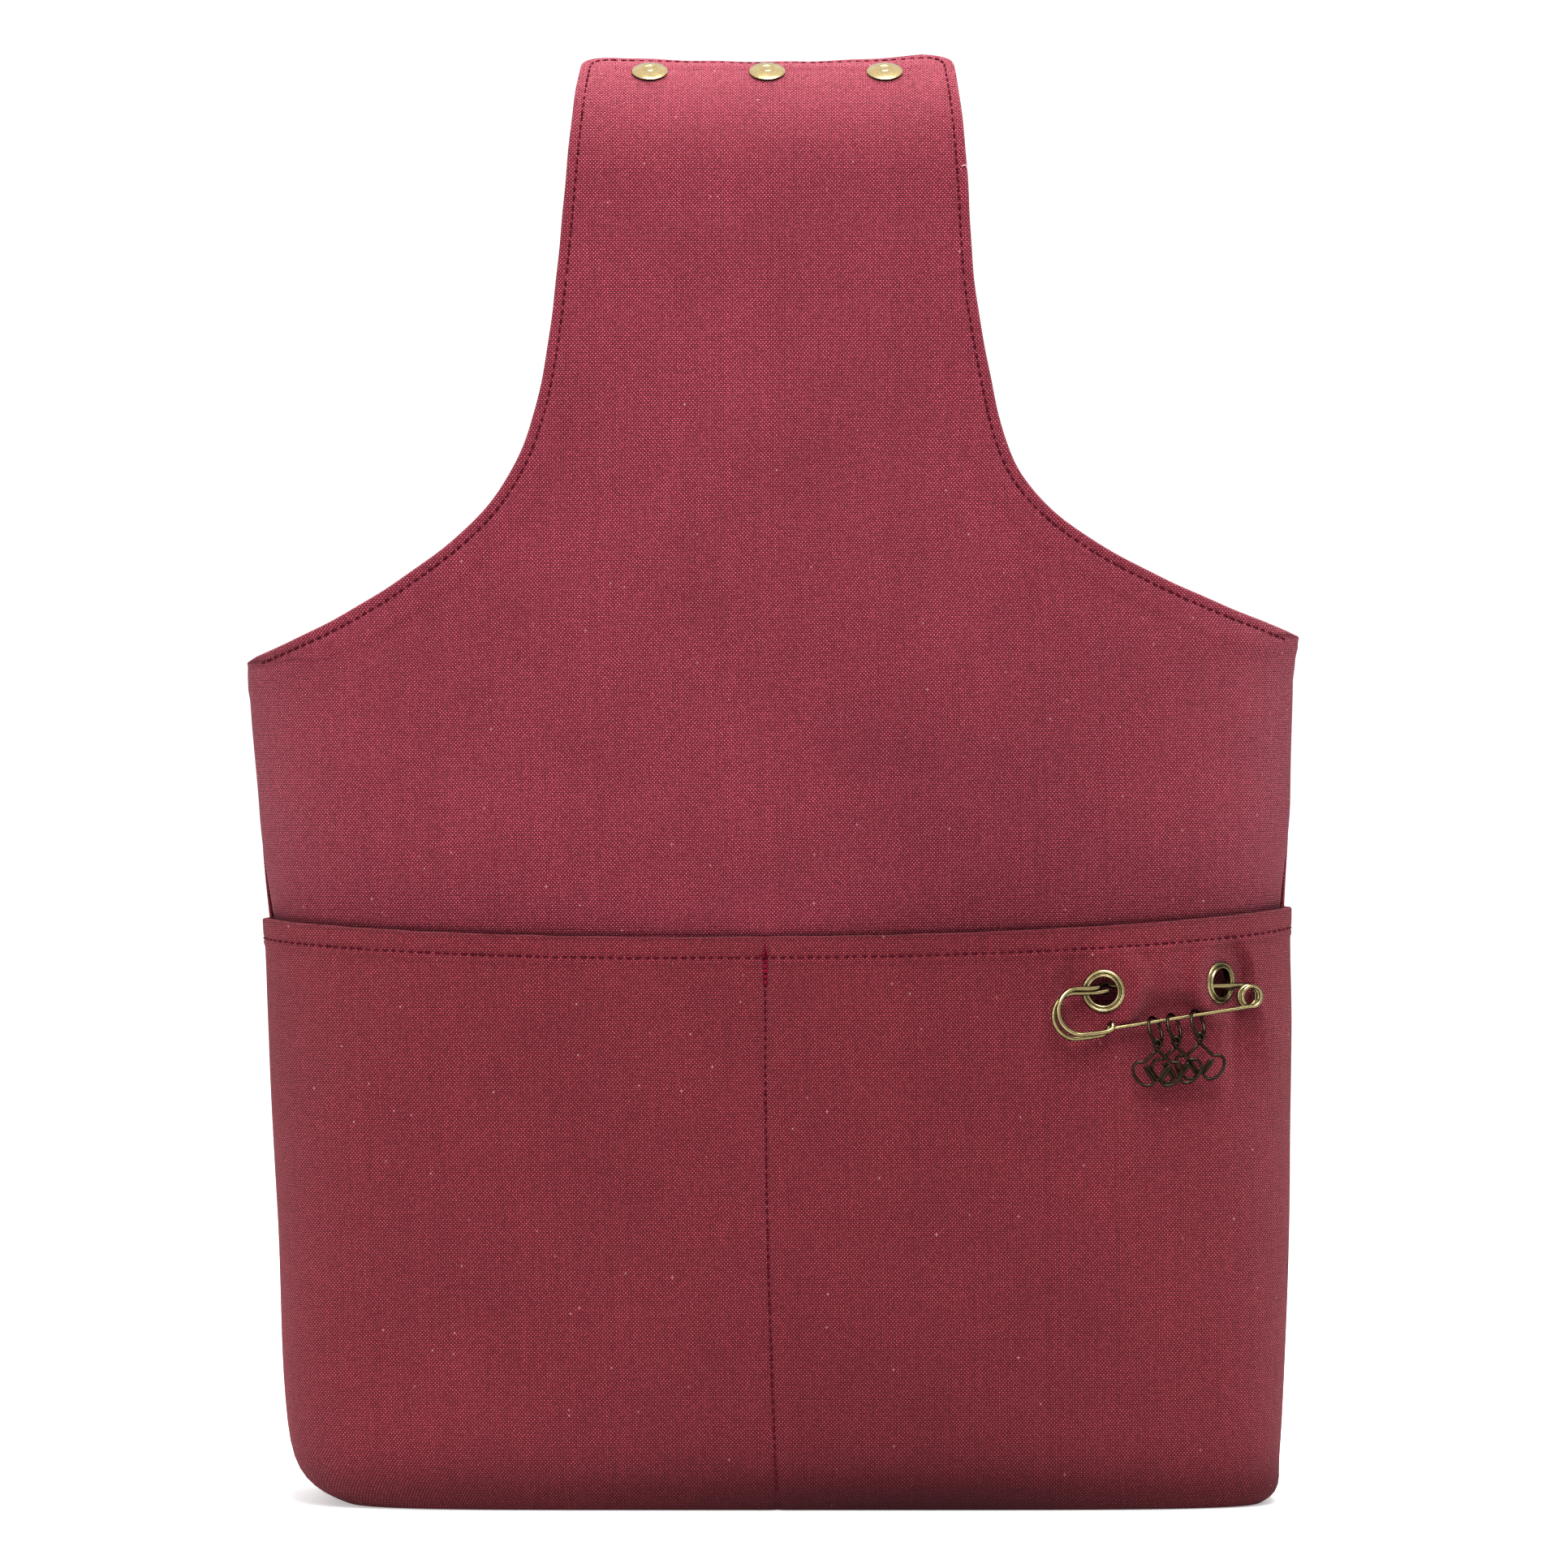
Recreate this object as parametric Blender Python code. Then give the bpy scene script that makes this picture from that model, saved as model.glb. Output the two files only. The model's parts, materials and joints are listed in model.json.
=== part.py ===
"""Knitting bag: a boxed canvas project bag with a snap-closed wrist loop and a pin of stitch markers.

Metres, +Z up, front towards -Y. The bag stands on z = 0 with its origin under the middle of its box.

The walls are grids over a few shared functions, so the layers of cloth stay parallel. A point of a wall is
named by a column t, from -1 at the left edge to 1 at the right one, and a height h, which runs on along the
neck and round the wrist arch above ARCH_Z. A lift moves the point outwards, square to the wall.
"""
import math

import bmesh
import bpy
import numpy as np
from mathutils import Matrix, Vector

# Driving dimensions of the bag
SHOULDER_Z = 0.2460      # height of the shoulder tips, where the side seams end
ARCH_Z = 0.3800          # height where the necks start to curve over
NECK_FOLD_Z = 0.3120     # height of the fold line at the foot of the front neck
FRONT_ARCH_R = 0.0380    # outer face of the front canvas in the arch
BACK_ARCH_R = 0.0325     # outer face of the back canvas, which passes under the strap end
STRAP_KNEE = 30.0        # arch angle of the line where the strap end peels off, in degrees
STRAP_END = 75.0         # arch angle of the strap's free end
BACK_END = 36.0          # arch angle of the back neck's hidden end
STRAP_CORNER = 0.0080    # radius of the strap end's corners
SNAP_ANGLE = 57.0        # arch angle of the row of snaps
SNAP_SPACING = 0.0337
NECK_CENTRE = -0.0048    # the neck leans this far to the left

CANVAS = 0.0010          # cloth thickness
LINING = 0.0005
GAP = 0.0003             # clearance between touching pieces
LINING_SLACK = 0.0043    # extra room between canvas and lining low in the bag

HEM_Z = 0.1642           # top of the pocket at the middle
HEM_RISE = 0.0056        # how much higher the pocket's top edge is at the sides
POCKET_SLACK = 0.0080    # how far each pocket stands off the front wall at its mouth
DIVIDER_X = -0.0010      # the stitch line between the two pockets
THREAD_R = 0.00035

EYELET_X = (0.0925, 0.1261)      # across the wall, before the bag's lean
EYELET_Z = (0.1487, 0.1502)
EYELET_YAW = (-9.0, 47.0)        # direction each eyelet faces, in degrees from straight ahead
EYELET_HOLE_R = 0.0040
PUCKER = 0.0030          # the cloth between the eyelets stands out over the pin's arm
PRESS_OUT = 0.0004       # outer face of the cloth behind the needle, in front of the arm's middle
EYELET_FLANGE_R = 0.00615

PIN_WIRE_R = 0.00062
PIN_YAW = 19.0           # the pin's plane faces this far to the right, in degrees
PIN_ARM_Z = 0.1503
COIL_R = 0.0029
COIL_U = 0.0262          # coil centre along the pin, from midway between the eyelets
HEAD_U = -0.0260         # centre of the head loop along the pin
HEAD_R = 0.0064
CATCH_U = -0.0167        # where the catch arches over the needle
CATCH_Z = 0.1389
NEEDLE_R = 0.00048
NEEDLE_OUT = (0.0029, 0.0040)    # needle in front of the arm, at the catch and at the coil

MARKER_U = (-0.0038, 0.0019, 0.0091)
MARKER_WIRE_R = 0.00035
RING_HALF = (0.0029, 0.0040)
RING_TILT = 26.0         # the rings lean out from the canvas by this angle
EYE_R = 0.00115

# Grids
COLUMNS = 24
SECTION_STEPS = 360
LOW_ROWS = (0.0, 0.0025, 0.006, 0.011, 0.019, 0.034, 0.055)
BODY_ROWS = LOW_ROWS + (0.080, 0.108, 0.136, 0.164, 0.192, 0.220, 0.246)
NECK_ROWS = (0.252, 0.260, 0.270, 0.282, 0.297, 0.3117)
POCKET_ROWS = LOW_ROWS + (0.080, 0.104, 0.122, 0.131, 0.136, 0.140, 0.144, 0.148, 0.152, 0.156, 0.160, 0.1642)
BOTTOM_STEPS = (1.0, 0.66, 0.33)

COLORS = {
    "canvas": ((0.30, 0.045, 0.072, 1.0), 0.85, 0.0),
    "lining": ((0.16, 0.030, 0.045, 1.0), 0.9, 0.0),
    "thread": ((0.12, 0.010, 0.020, 1.0), 0.7, 0.0),
    "brass": ((0.55, 0.40, 0.18, 1.0), 0.35, 1.0),
    "bronze": ((0.10, 0.085, 0.060, 1.0), 0.4, 1.0),
}


def smooth(value):
    """0 below 0, 1 above 1, and an easy curve between."""
    value = min(1.0, max(0.0, value))
    return value * value * (3.0 - 2.0 * value)


# ---------------------------------------------------------------- shape of the walls

def half_width(z):
    """Half the bag's width from side seam to side seam."""
    foot = 0.0095 * math.exp(-z / 0.0065)
    return 0.1449 + 0.018 * z + 0.003 * smooth((z - 0.170) / 0.070) - foot


def wall_depth(side, z):
    """Distance of the front or back wall from the side seams' plane."""
    bulge = math.sin(math.pi * min(1.0, z / 0.210))
    foot = math.exp(-z / 0.008)
    if side == "front":
        return FRONT_ARCH_R + 0.005 * bulge - 0.006 * foot
    return BACK_ARCH_R + 0.007 * bulge - 0.001 * foot


def corner_power(z):
    """Superellipse power of the plan section: boxed at the foot, rounder towards the mouth."""
    return 2.5 + 2.5 * math.exp(-(z / 0.110) ** 2)


def outline(h):
    """Half width of the panel from the shoulder tips up and along the neck."""
    neck = 0.05485 + 0.0836 * (0.400 - h)
    return neck + 0.1552 / (1.0 + math.exp((h - 0.2496) / 0.01742))


def section(side, z):
    """Plan section of one wall: arc position from -1 to 1, x, and distance from the seam plane."""
    half = half_width(z)
    depth = wall_depth(side, z)
    power = 2.0 / corner_power(z)
    turn = np.linspace(0.0, math.pi, SECTION_STEPS)
    x = -half * np.sign(np.cos(turn)) * np.abs(np.cos(turn)) ** power
    y = depth * np.abs(np.sin(turn)) ** power
    run = np.concatenate(([0.0], np.cumsum(np.hypot(np.diff(x), np.diff(y)))))
    return 2.0 * run / run[-1] - 1.0, x, y


def lean(x, z):
    """Leaves the foot where it is and moves the neck a little to the left, right shoulder up."""
    shift = 0.0010 + (NECK_CENTRE - 0.0010) * smooth(z / 0.300)
    tilt = 0.0213 * min(1.0, z / 0.240) ** 2 * (1.0 - smooth((z - 0.280) / 0.060))
    return x + shift, z + tilt * x


def arch_point(side, x, h, lift):
    """A point of the neck: upright below ARCH_Z, then round the arch."""
    radius = FRONT_ARCH_R if side == "front" else BACK_ARCH_R
    turn = max(0.0, h - ARCH_Z) / radius
    y = (radius + lift) * math.cos(turn)
    z = min(h, ARCH_Z) + (radius + lift) * math.sin(turn)
    return x, y, z


def wall_point(side, t, h, lift=0.0):
    """A point of a wall before the lean: column t, height h, moved outwards by lift."""
    z = min(h, SHOULDER_Z)
    arc, xs, ys = section(side, z)
    edge = 1.0
    if h > SHOULDER_Z:
        edge = float(np.interp(min(outline(h), half_width(z)), xs, arc))
    at = t * edge
    x = float(np.interp(at, arc, xs))
    y = float(np.interp(at, arc, ys))
    step = 0.01
    before = max(-1.0, at - step)
    after = min(1.0, at + step)
    dx = float(np.interp(after, arc, xs) - np.interp(before, arc, xs))
    dy = float(np.interp(after, arc, ys) - np.interp(before, arc, ys))
    size = math.hypot(dx, dy)
    x += lift * -dy / size
    y += lift * dx / size
    flat = smooth((h - 0.290) / 0.080)
    if flat > 0.0:
        corner = strap_corner_cut(h) if side == "front" else 0.0
        straight_x = t * (outline(h) - corner)
        x = straight_x if flat >= 1.0 else x + flat * (straight_x - x)
        _, arch_y, arch_z = arch_point(side, x, h, lift)
        return x, y + flat * (arch_y - y), arch_z
    return x, y, h


def strap_corner_cut(h):
    """How much the rounded corners narrow the strap near its free end."""
    left = max(0.0, strap_length(STRAP_END) - h)
    if left >= STRAP_CORNER:
        return 0.0
    inner = STRAP_CORNER - left
    return STRAP_CORNER - math.sqrt(max(0.0, STRAP_CORNER ** 2 - inner ** 2))


def strap_length(angle):
    """The height h that belongs to an angle of the front arch."""
    return ARCH_Z + FRONT_ARCH_R * math.radians(angle)


def placed(side, x, y, z):
    """A wall point with the lean, at its side of the bag."""
    x, z = lean(x, z)
    return Vector((x, -y if side == "front" else y, z))


def pocket_lift(t, z):
    """How far the pocket stands off the wall: nothing at the divider and the side seams."""
    return POCKET_SLACK * math.sin(math.pi * abs(t)) ** 0.8 * smooth((z - 0.020) / 0.130)


def pocket_plain(t, z, lift):
    """The pocket's cloth without the eyelets."""
    return wall_point("front", t, z, pocket_lift(t, z) + lift)


_DEPTHS = []


def eyelet_depths():
    """Distance of each eyelet's centre from the seam plane; the pin's arm runs through both."""
    if not _DEPTHS:
        depths = []
        for ex, ez in zip(EYELET_X, EYELET_Z):
            columns = np.linspace(0.3, 0.95, 120)
            points = [pocket_plain(t, ez, -CANVAS / 2) for t in columns]
            depths.append(float(np.interp(ex, [p[0] for p in points], [p[1] for p in points])))
        middle = sum(depths) / 2
        drop = (EYELET_X[1] - EYELET_X[0]) / 2 * math.tan(math.radians(PIN_YAW))
        _DEPTHS.extend((middle + drop, middle - drop))
    return _DEPTHS


def pressed(x, y, z, offset):
    """Keeps the cloth behind the pin, which lies on it below the eyelets and at the coil."""
    left, right = EYELET_X
    share = (x - left) / (right - left)
    coil = smooth((share - 1.0) / 0.12)
    reach = smooth((share + 0.75) / 0.5) * smooth((1.75 - share) / 0.4)
    reach *= smooth((0.1490 + 0.0060 * coil - z) / 0.0050) * smooth((z - 0.116) / 0.014)
    depth = eyelet_depths()
    out = PRESS_OUT - 0.0017 * coil - CANVAS / 2 + offset
    limit = depth[0] + share * (depth[1] - depth[0]) + out / math.cos(math.radians(PIN_YAW))
    return y + reach * (min(y, limit) - y)


def flat_weight(ex, ez, yaw, x, z):
    """1 on the flat cloth round an eyelet, fading to 0 around it, sooner below where the needle lies."""
    reach = math.hypot((x - ex) / math.cos(math.radians(yaw)), z - ez)
    fade = 0.0050 + 0.0015 * smooth((z - ez) / 0.006 + 0.5)
    return 1.0 - smooth((reach - 0.0092) / fade)


def pocket_point(t, z, lift):
    """A point of the pocket's cloth, flat round each eyelet and pushed out between the two."""
    x, y, _ = pocket_plain(t, z, lift)
    middle_x, _, _ = pocket_plain(t, z, -CANVAS / 2)
    between = 0.5 * (EYELET_X[0] + EYELET_X[1])
    y += PUCKER * math.exp(-((middle_x - between) / 0.009) ** 2 / 2 - ((z - 0.155) / 0.007) ** 2 / 2)
    offset = lift + CANVAS / 2
    y = pressed(middle_x, y, z, offset)
    for ex, ez, yaw, ey in zip(EYELET_X, EYELET_Z, EYELET_YAW, eyelet_depths()):
        turn = math.radians(yaw)
        weight = flat_weight(ex, ez, yaw, middle_x, z)
        flat_x = middle_x + offset * math.sin(turn)
        flat_y = ey - (middle_x - ex) * math.tan(turn) + offset * math.cos(turn)
        x += weight * (flat_x - x)
        y += weight * (flat_y - y)
    return x, y, z


def pocket_height(t, row):
    """Height of a pocket row, which follows the curved top edge more and more."""
    rise = HEM_RISE * min(1.0, abs(t) * 1.1) ** 2
    return row + rise * smooth((row - 0.060) / 0.090)


# ---------------------------------------------------------------- building helpers

def material(name):
    found = bpy.data.materials.get(name)
    if found:
        return found
    color, roughness, metallic = COLORS[name]
    made = bpy.data.materials.new(name)
    made.use_nodes = True
    shader = made.node_tree.nodes["Principled BSDF"]
    shader.inputs["Base Color"].default_value = color
    shader.inputs["Roughness"].default_value = roughness
    shader.inputs["Metallic"].default_value = metallic
    made.diffuse_color = color
    return made


def pivot(name, location, parent=None):
    """An empty on a joint's axis."""
    empty = bpy.data.objects.new(name, None)
    bpy.context.scene.collection.objects.link(empty)
    empty.empty_display_size = 0.01
    empty.parent = parent
    base = world_of(parent).inverted() if parent else Matrix()
    empty.matrix_basis = base @ Matrix.Translation(location)
    return empty


def world_of(obj):
    """World matrix from the parents' local ones, without waiting for a scene update."""
    matrix = obj.matrix_basis.copy()
    while obj.parent:
        obj = obj.parent
        matrix = obj.matrix_basis @ matrix
    return matrix


def add_object(name, data, parent, slot, matrix=None):
    """Links mesh or curve data given in bag coordinates under its joint's empty."""
    obj = bpy.data.objects.new(name, data)
    bpy.context.scene.collection.objects.link(obj)
    obj.parent = parent
    if matrix is None:
        data.transform(world_of(parent).inverted())
    else:
        obj.matrix_basis = world_of(parent).inverted() @ matrix
    data.materials.append(material(slot))
    return obj


def mesh_from(name, bm, round_shape=False):
    bmesh.ops.recalc_face_normals(bm, faces=bm.faces)
    mesh = bpy.data.meshes.new(name)
    bm.to_mesh(mesh)
    bm.free()
    if round_shape:
        mesh.shade_smooth()
        mesh.set_sharp_from_angle(angle=math.radians(40))
    return mesh


def solid_between(name, outer, inner, faces):
    """Closed mesh from two matching sheets of points, joined along their free edges."""
    bm = bmesh.new()
    tops = [bm.verts.new(p) for p in outer]
    lows = [bm.verts.new(p) for p in inner]
    edge_use = {}
    for face in faces:
        bm.faces.new([tops[i] for i in face])
        bm.faces.new([lows[i] for i in reversed(face)])
        for a, b in zip(face, face[1:] + face[:1]):
            key = (min(a, b), max(a, b))
            edge_use[key] = None if key in edge_use else (a, b)
    for pair in edge_use.values():
        if pair:
            a, b = pair
            bm.faces.new([tops[b], tops[a], lows[a], lows[b]])
    bmesh.ops.remove_doubles(bm, verts=bm.verts, dist=0.00002)
    return mesh_from(name, bm, round_shape=True)


def grid_faces(columns, rows):
    """Quads of a grid whose points run along each row in turn."""
    quads = []
    for j in range(rows - 1):
        for i in range(columns - 1):
            a = j * columns + i
            quads.append([a, a + 1, a + 1 + columns, a + columns])
    return quads


def wall_shell(name, side, columns, rows, floor, lift_at, thickness, parent, slot):
    """A wall with its half of the bottom: the rows of the bottom first, then up the wall."""
    outer = []
    inner = []
    seam = GAP
    for share in BOTTOM_STEPS if floor is not None else ():
        for t in columns:
            for points, lift, z in ((outer, lift_at(0.0), floor), (inner, lift_at(0.0) - thickness, floor + thickness)):
                x, y, _ = wall_point(side, t, z, lift)
                y = max(seam, seam + (y - seam) * (1.0 - share))
                points.append(placed(side, x, y, z))
    for number, h in enumerate(rows):
        for t in columns:
            for points, lift in ((outer, lift_at(h)), (inner, lift_at(h) - thickness)):
                low = 0.0
                if floor is not None and number == 0:
                    low = floor if points is outer else floor + thickness
                x, y, z = wall_point(side, t, max(h, low), lift)
                points.append(placed(side, x, max(y, seam) if h <= SHOULDER_Z else y, z))
    faces = grid_faces(len(columns), len(outer) // len(columns))
    mesh = solid_between(name, outer, inner, faces)
    return add_object(name, mesh, parent, slot)


def cut_holes(obj, places, radius, length, sides=12):
    """Cuts round holes through an object with cylinders on the given matrices."""
    bm = bmesh.new()
    for matrix in places:
        bmesh.ops.create_cone(bm, cap_ends=True, segments=sides, radius1=radius, radius2=radius,
                              depth=length, matrix=matrix)
    mesh = mesh_from(obj.name + "_cutter", bm)
    cutter = add_object(obj.name + "_cutter", mesh, obj.parent, "thread")
    cutter.hide_render = True
    cutter.display_type = "WIRE"
    cut = obj.modifiers.new("holes", "BOOLEAN")
    cut.operation = "DIFFERENCE"
    cut.solver = "EXACT"
    cut.object = cutter


def turned(name, profile, sides, parent, slot, matrix):
    """A closed ring or disc turned about local Z from a loop of (radius, height) points."""
    bm = bmesh.new()
    rings = []
    for k in range(sides):
        angle = 2.0 * math.pi * k / sides
        rings.append([bm.verts.new((r * math.cos(angle), r * math.sin(angle), h)) for r, h in profile])
    count = len(profile)
    on_axis = profile[0][0] == 0.0
    for k in range(sides):
        here = rings[k]
        after = rings[(k + 1) % sides]
        for j in range(count if not on_axis else count - 1):
            corners = [here[j], after[j], after[(j + 1) % count], here[(j + 1) % count]]
            bm.faces.new(corners)
    bmesh.ops.remove_doubles(bm, verts=bm.verts, dist=0.00001)
    mesh = mesh_from(name, bm, round_shape=True)
    return add_object(name, mesh, parent, slot, matrix)


def wire(name, points, radius, parent, slot, closed=False, sides=8):
    """A round wire through the points, with flat ends unless it is closed."""
    points = [Vector(p) for p in points]
    count = len(points)
    bm = bmesh.new()
    rings = []
    normal = None
    for k, point in enumerate(points):
        before = points[k - 1] if k or closed else point
        after = points[(k + 1) % count] if k < count - 1 or closed else point
        along = (after - before).normalized()
        if normal is None:
            normal = along.orthogonal()
        normal = (normal - along * normal.dot(along)).normalized()
        rings.append(wire_ring(bm, point, along, normal, radius, sides))
    for k in range(count if closed else count - 1):
        after = rings[(k + 1) % count]
        twist = nearest_turn(rings[k], after) if k == count - 1 else 0
        for j in range(sides):
            a, b = after[(j + 1 + twist) % sides], after[(j + twist) % sides]
            bm.faces.new([rings[k][j], rings[k][(j + 1) % sides], a, b])
    if not closed:
        bm.faces.new(rings[0][::-1])
        bm.faces.new(rings[-1])
    return add_object(name, mesh_from(name, bm, round_shape=True), parent, slot)


def wire_ring(bm, point, along, normal, radius, sides):
    side = along.cross(normal)
    ring = []
    for j in range(sides):
        angle = 2.0 * math.pi * j / sides
        ring.append(bm.verts.new(point + radius * (math.cos(angle) * normal + math.sin(angle) * side)))
    return ring


def nearest_turn(ring, other):
    """How far to turn the other ring so that its points meet this one's."""
    sides = len(ring)
    return min(range(sides), key=lambda turn: (ring[0].co - other[turn].co).length)


def even_columns(count=COLUMNS):
    return [2.0 * i / count - 1.0 for i in range(count + 1)]


# ---------------------------------------------------------------- cloth

def front_lift(h):
    """The front canvas lies under the pocket's cloth, and comes out above it."""
    return -(CANVAS + 1.5 * GAP) * (1.0 - smooth((h - 0.172) / 0.030))


def lining_lift(h):
    return -CANVAS - GAP - LINING_SLACK * (1.0 - smooth((h - 0.215) / 0.075))


def strap_rows(first, last, steps):
    return [first + (last - first) * k / steps for k in range(steps + 1)]


def make_front(bag, neck_pivot, tip_pivot):
    columns = even_columns()
    neck_columns = even_columns(8)
    knee = strap_length(STRAP_KNEE)
    end = strap_length(STRAP_END)
    tip_rows = strap_rows(knee + GAP, end - STRAP_CORNER, 5)
    tip_rows += [end - STRAP_CORNER * share for share in (0.6, 0.3, 0.1, 0.0)]
    neck_rows = strap_rows(NECK_FOLD_Z + GAP, ARCH_Z, 6) + strap_rows(ARCH_Z, knee - GAP, 4)[1:]
    wall_shell("front_panel", "front", columns, BODY_ROWS + NECK_ROWS, CANVAS + 1.3 * GAP,
               front_lift, CANVAS, bag, "canvas")
    wall_shell("front_neck", "front", neck_columns, neck_rows, None, front_lift, CANVAS, neck_pivot, "canvas")
    tip = wall_shell("strap_end", "front", neck_columns, tip_rows, None, front_lift, CANVAS, tip_pivot, "canvas")
    wall_shell("front_lining", "front", even_columns(18), lining_rows(0.3105), 2.0 * CANVAS + 3.5 * GAP,
               lambda h: lining_lift(h) + 1.3 * front_lift(h), LINING, bag, "lining")
    wall_shell("front_neck_lining", "front", neck_columns, neck_rows, None, lining_lift, LINING,
               neck_pivot, "lining")
    tip_lining = wall_shell("strap_end_lining", "front", neck_columns, tip_rows, None, lining_lift, LINING,
                            tip_pivot, "lining")
    for cloth in (tip, tip_lining):
        cut_holes(cloth, snap_places(), 0.0019, 0.012)


def lining_rows(top):
    return (0.0, 0.006, 0.019, 0.055, 0.108, 0.164, 0.220, 0.246, 0.258, 0.272, 0.290, top)


def make_back(bag):
    columns = even_columns()
    arc_end = ARCH_Z + BACK_ARCH_R * math.radians(180.0 - BACK_END)
    arch_rows = tuple(strap_rows(0.325, ARCH_Z, 4) + strap_rows(ARCH_Z, arc_end, 14)[1:])
    cloth = wall_shell("back_panel", "back", columns, BODY_ROWS + NECK_ROWS + arch_rows, 0.0,
                       lambda h: 0.0, CANVAS, bag, "canvas")
    rows = lining_rows(0.3117) + tuple(strap_rows(0.325, ARCH_Z, 4) + strap_rows(ARCH_Z, arc_end, 14)[1:])
    lining = wall_shell("back_lining", "back", even_columns(18), rows, CANVAS + GAP, lining_lift, LINING,
                        bag, "lining")
    for piece in (cloth, lining):
        cut_holes(piece, snap_places(), 0.0016, 0.020)


def make_pocket(bag):
    """The pocket canvas, with a finer grid round the eyelets and a hole at each."""
    fine = []
    for t in even_columns():
        splits = 4 if 0.45 < t < 0.88 else 1
        fine += [t + 2.0 * k / (splits * COLUMNS) for k in range(splits)]
    fine = fine[:-1] + [1.0]
    outer = []
    inner = []
    for share in BOTTOM_STEPS:
        for t in fine:
            for points, lift, z in ((outer, 0.0, 0.0), (inner, -CANVAS, CANVAS)):
                x, y, _ = wall_point("front", t, z, lift)
                y = max(GAP, GAP + (y - GAP) * (1.0 - share))
                points.append(placed("front", x, y, z))
    for number, row in enumerate(POCKET_ROWS):
        for t in fine:
            h = pocket_height(t, row)
            for points, lift in ((outer, 0.0), (inner, -CANVAS)):
                low = CANVAS if number == 0 and points is inner else 0.0
                x, y, z = pocket_point(t, max(h, low), lift)
                points.append(placed("front", x, max(y, GAP), z))
    faces = grid_faces(len(fine), len(outer) // len(fine))
    mesh = solid_between("pocket_panel", outer, inner, faces)
    pocket = add_object("pocket_panel", mesh, bag, "canvas")
    cut_holes(pocket, eyelet_places(), 0.0047, 0.008, sides=16)
    return fine


def make_threads(bag, columns):
    """The stitch line that divides the pocket, and the one along its hem."""
    divider = []
    for k in range(17):
        z = HEM_Z - 0.0068 - (HEM_Z - 0.016) * k / 16
        x, y, z = wall_point("front", DIVIDER_X / half_width(z), z, THREAD_R + GAP)
        divider.append(placed("front", x, y, z))
    wire("pocket_divider_thread", divider, THREAD_R, bag, "thread", sides=5)
    hem = []
    for t in columns:
        if abs(t) > 0.975:
            continue
        x, y, z = pocket_point(t, pocket_height(t, HEM_Z) - 0.0053, 2.0 * THREAD_R + GAP)
        hem.append(placed("front", x, y, z))
    wire("pocket_hem_thread", hem, THREAD_R, bag, "thread", sides=5)


# ---------------------------------------------------------------- snaps and eyelets

def facing(side_vector, normal, origin):
    """Matrix at origin with local Z along normal and local X near side_vector."""
    z_axis = Vector(normal).normalized()
    y_axis = z_axis.cross(Vector(side_vector)).normalized()
    x_axis = y_axis.cross(z_axis)
    matrix = Matrix((x_axis, y_axis, z_axis)).transposed().to_4x4()
    matrix.translation = Vector(origin)
    return matrix


def snap_places():
    """Matrix of each snap: local Z out of the arch, origin on the arch's axis radius FRONT_ARCH_R."""
    turn = math.radians(SNAP_ANGLE)
    normal = (0.0, -math.cos(turn), math.sin(turn))
    places = []
    for number in (-1, 0, 1):
        middle = Vector((number * SNAP_SPACING + NECK_CENTRE, 0.0, ARCH_Z))
        places.append(facing((1, 0, 0), normal, middle + FRONT_ARCH_R * Vector(normal)))
    return places


CAP_PROFILE = ((0.0, 0.0009), (0.0021, 0.0009), (0.0025, 0.0014), (0.0043, 0.0015), (0.0052, 0.0010),
               (0.0052, 0.0006), (0.0046, 0.0003), (0.0014, 0.0003), (0.0014, -0.0021), (0.0, -0.0021))
SOCKET_PROFILE = ((0.0, -0.0025), (0.0044, -0.0025), (0.0048, -0.0029), (0.0048, -0.0043),
                  (0.0023, -0.0043), (0.0023, -0.0028), (0.0, -0.0028))
STUD_PROFILE = ((0.0, -0.0031), (0.0016, -0.0031), (0.0019, -0.0034), (0.0017, -0.0046), (0.0047, -0.0046),
                (0.0047, -0.0052), (0.0, -0.0052))
POST_PROFILE = ((0.0, -0.0055), (0.0012, -0.0055), (0.0012, -0.0079), (0.0045, -0.0079), (0.0045, -0.0086),
                (0.0, -0.0086))


def make_snaps(bag, tip_pivot):
    """Cap and socket on the strap end, stud and post on the back neck; heights count from the cap's cloth."""
    sets = (("cap", CAP_PROFILE, tip_pivot), ("socket", SOCKET_PROFILE, tip_pivot),
            ("stud", STUD_PROFILE, bag), ("post", POST_PROFILE, bag))
    for number, place in enumerate(snap_places(), start=1):
        for word, profile, parent in sets:
            turned(f"snap_{word}_{number}", profile, 14, parent, "brass", place)


def eyelet_places():
    """Matrix of each eyelet: local Z out of the pocket, origin in the middle of its cloth."""
    places = []
    for ex, ez, yaw, ey in zip(EYELET_X, EYELET_Z, EYELET_YAW, eyelet_depths()):
        turn = math.radians(yaw)
        centre = placed("front", ex, ey, ez)
        places.append(facing((0, 0, 1), (math.sin(turn), -math.cos(turn), 0.0), centre))
    return places


def make_eyelets(bag):
    face = CANVAS / 2 + 0.0002
    eyelet = ((EYELET_HOLE_R, -face - 0.0003), (0.0046, -face - 0.0007), (0.0050, -face - 0.0007),
              (0.0051, -face - 0.0005), (0.0044, -face - 0.00045), (0.0044, face), (EYELET_FLANGE_R, face),
              (EYELET_FLANGE_R, face + 0.00015), (0.0055, face + 0.00045), (0.0047, face + 0.00045),
              (EYELET_HOLE_R, face + 0.00015))
    washer = ((0.0047, -face - 0.00025), (0.0060, -face - 0.00025), (0.0060, -face), (0.0047, -face))
    for word, place in zip(("left", "right"), eyelet_places()):
        turned(f"eyelet_{word}", eyelet, 16, bag, "brass", place)
        turned(f"eyelet_washer_{word}", washer, 16, bag, "brass", place)


# ---------------------------------------------------------------- pin

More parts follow.
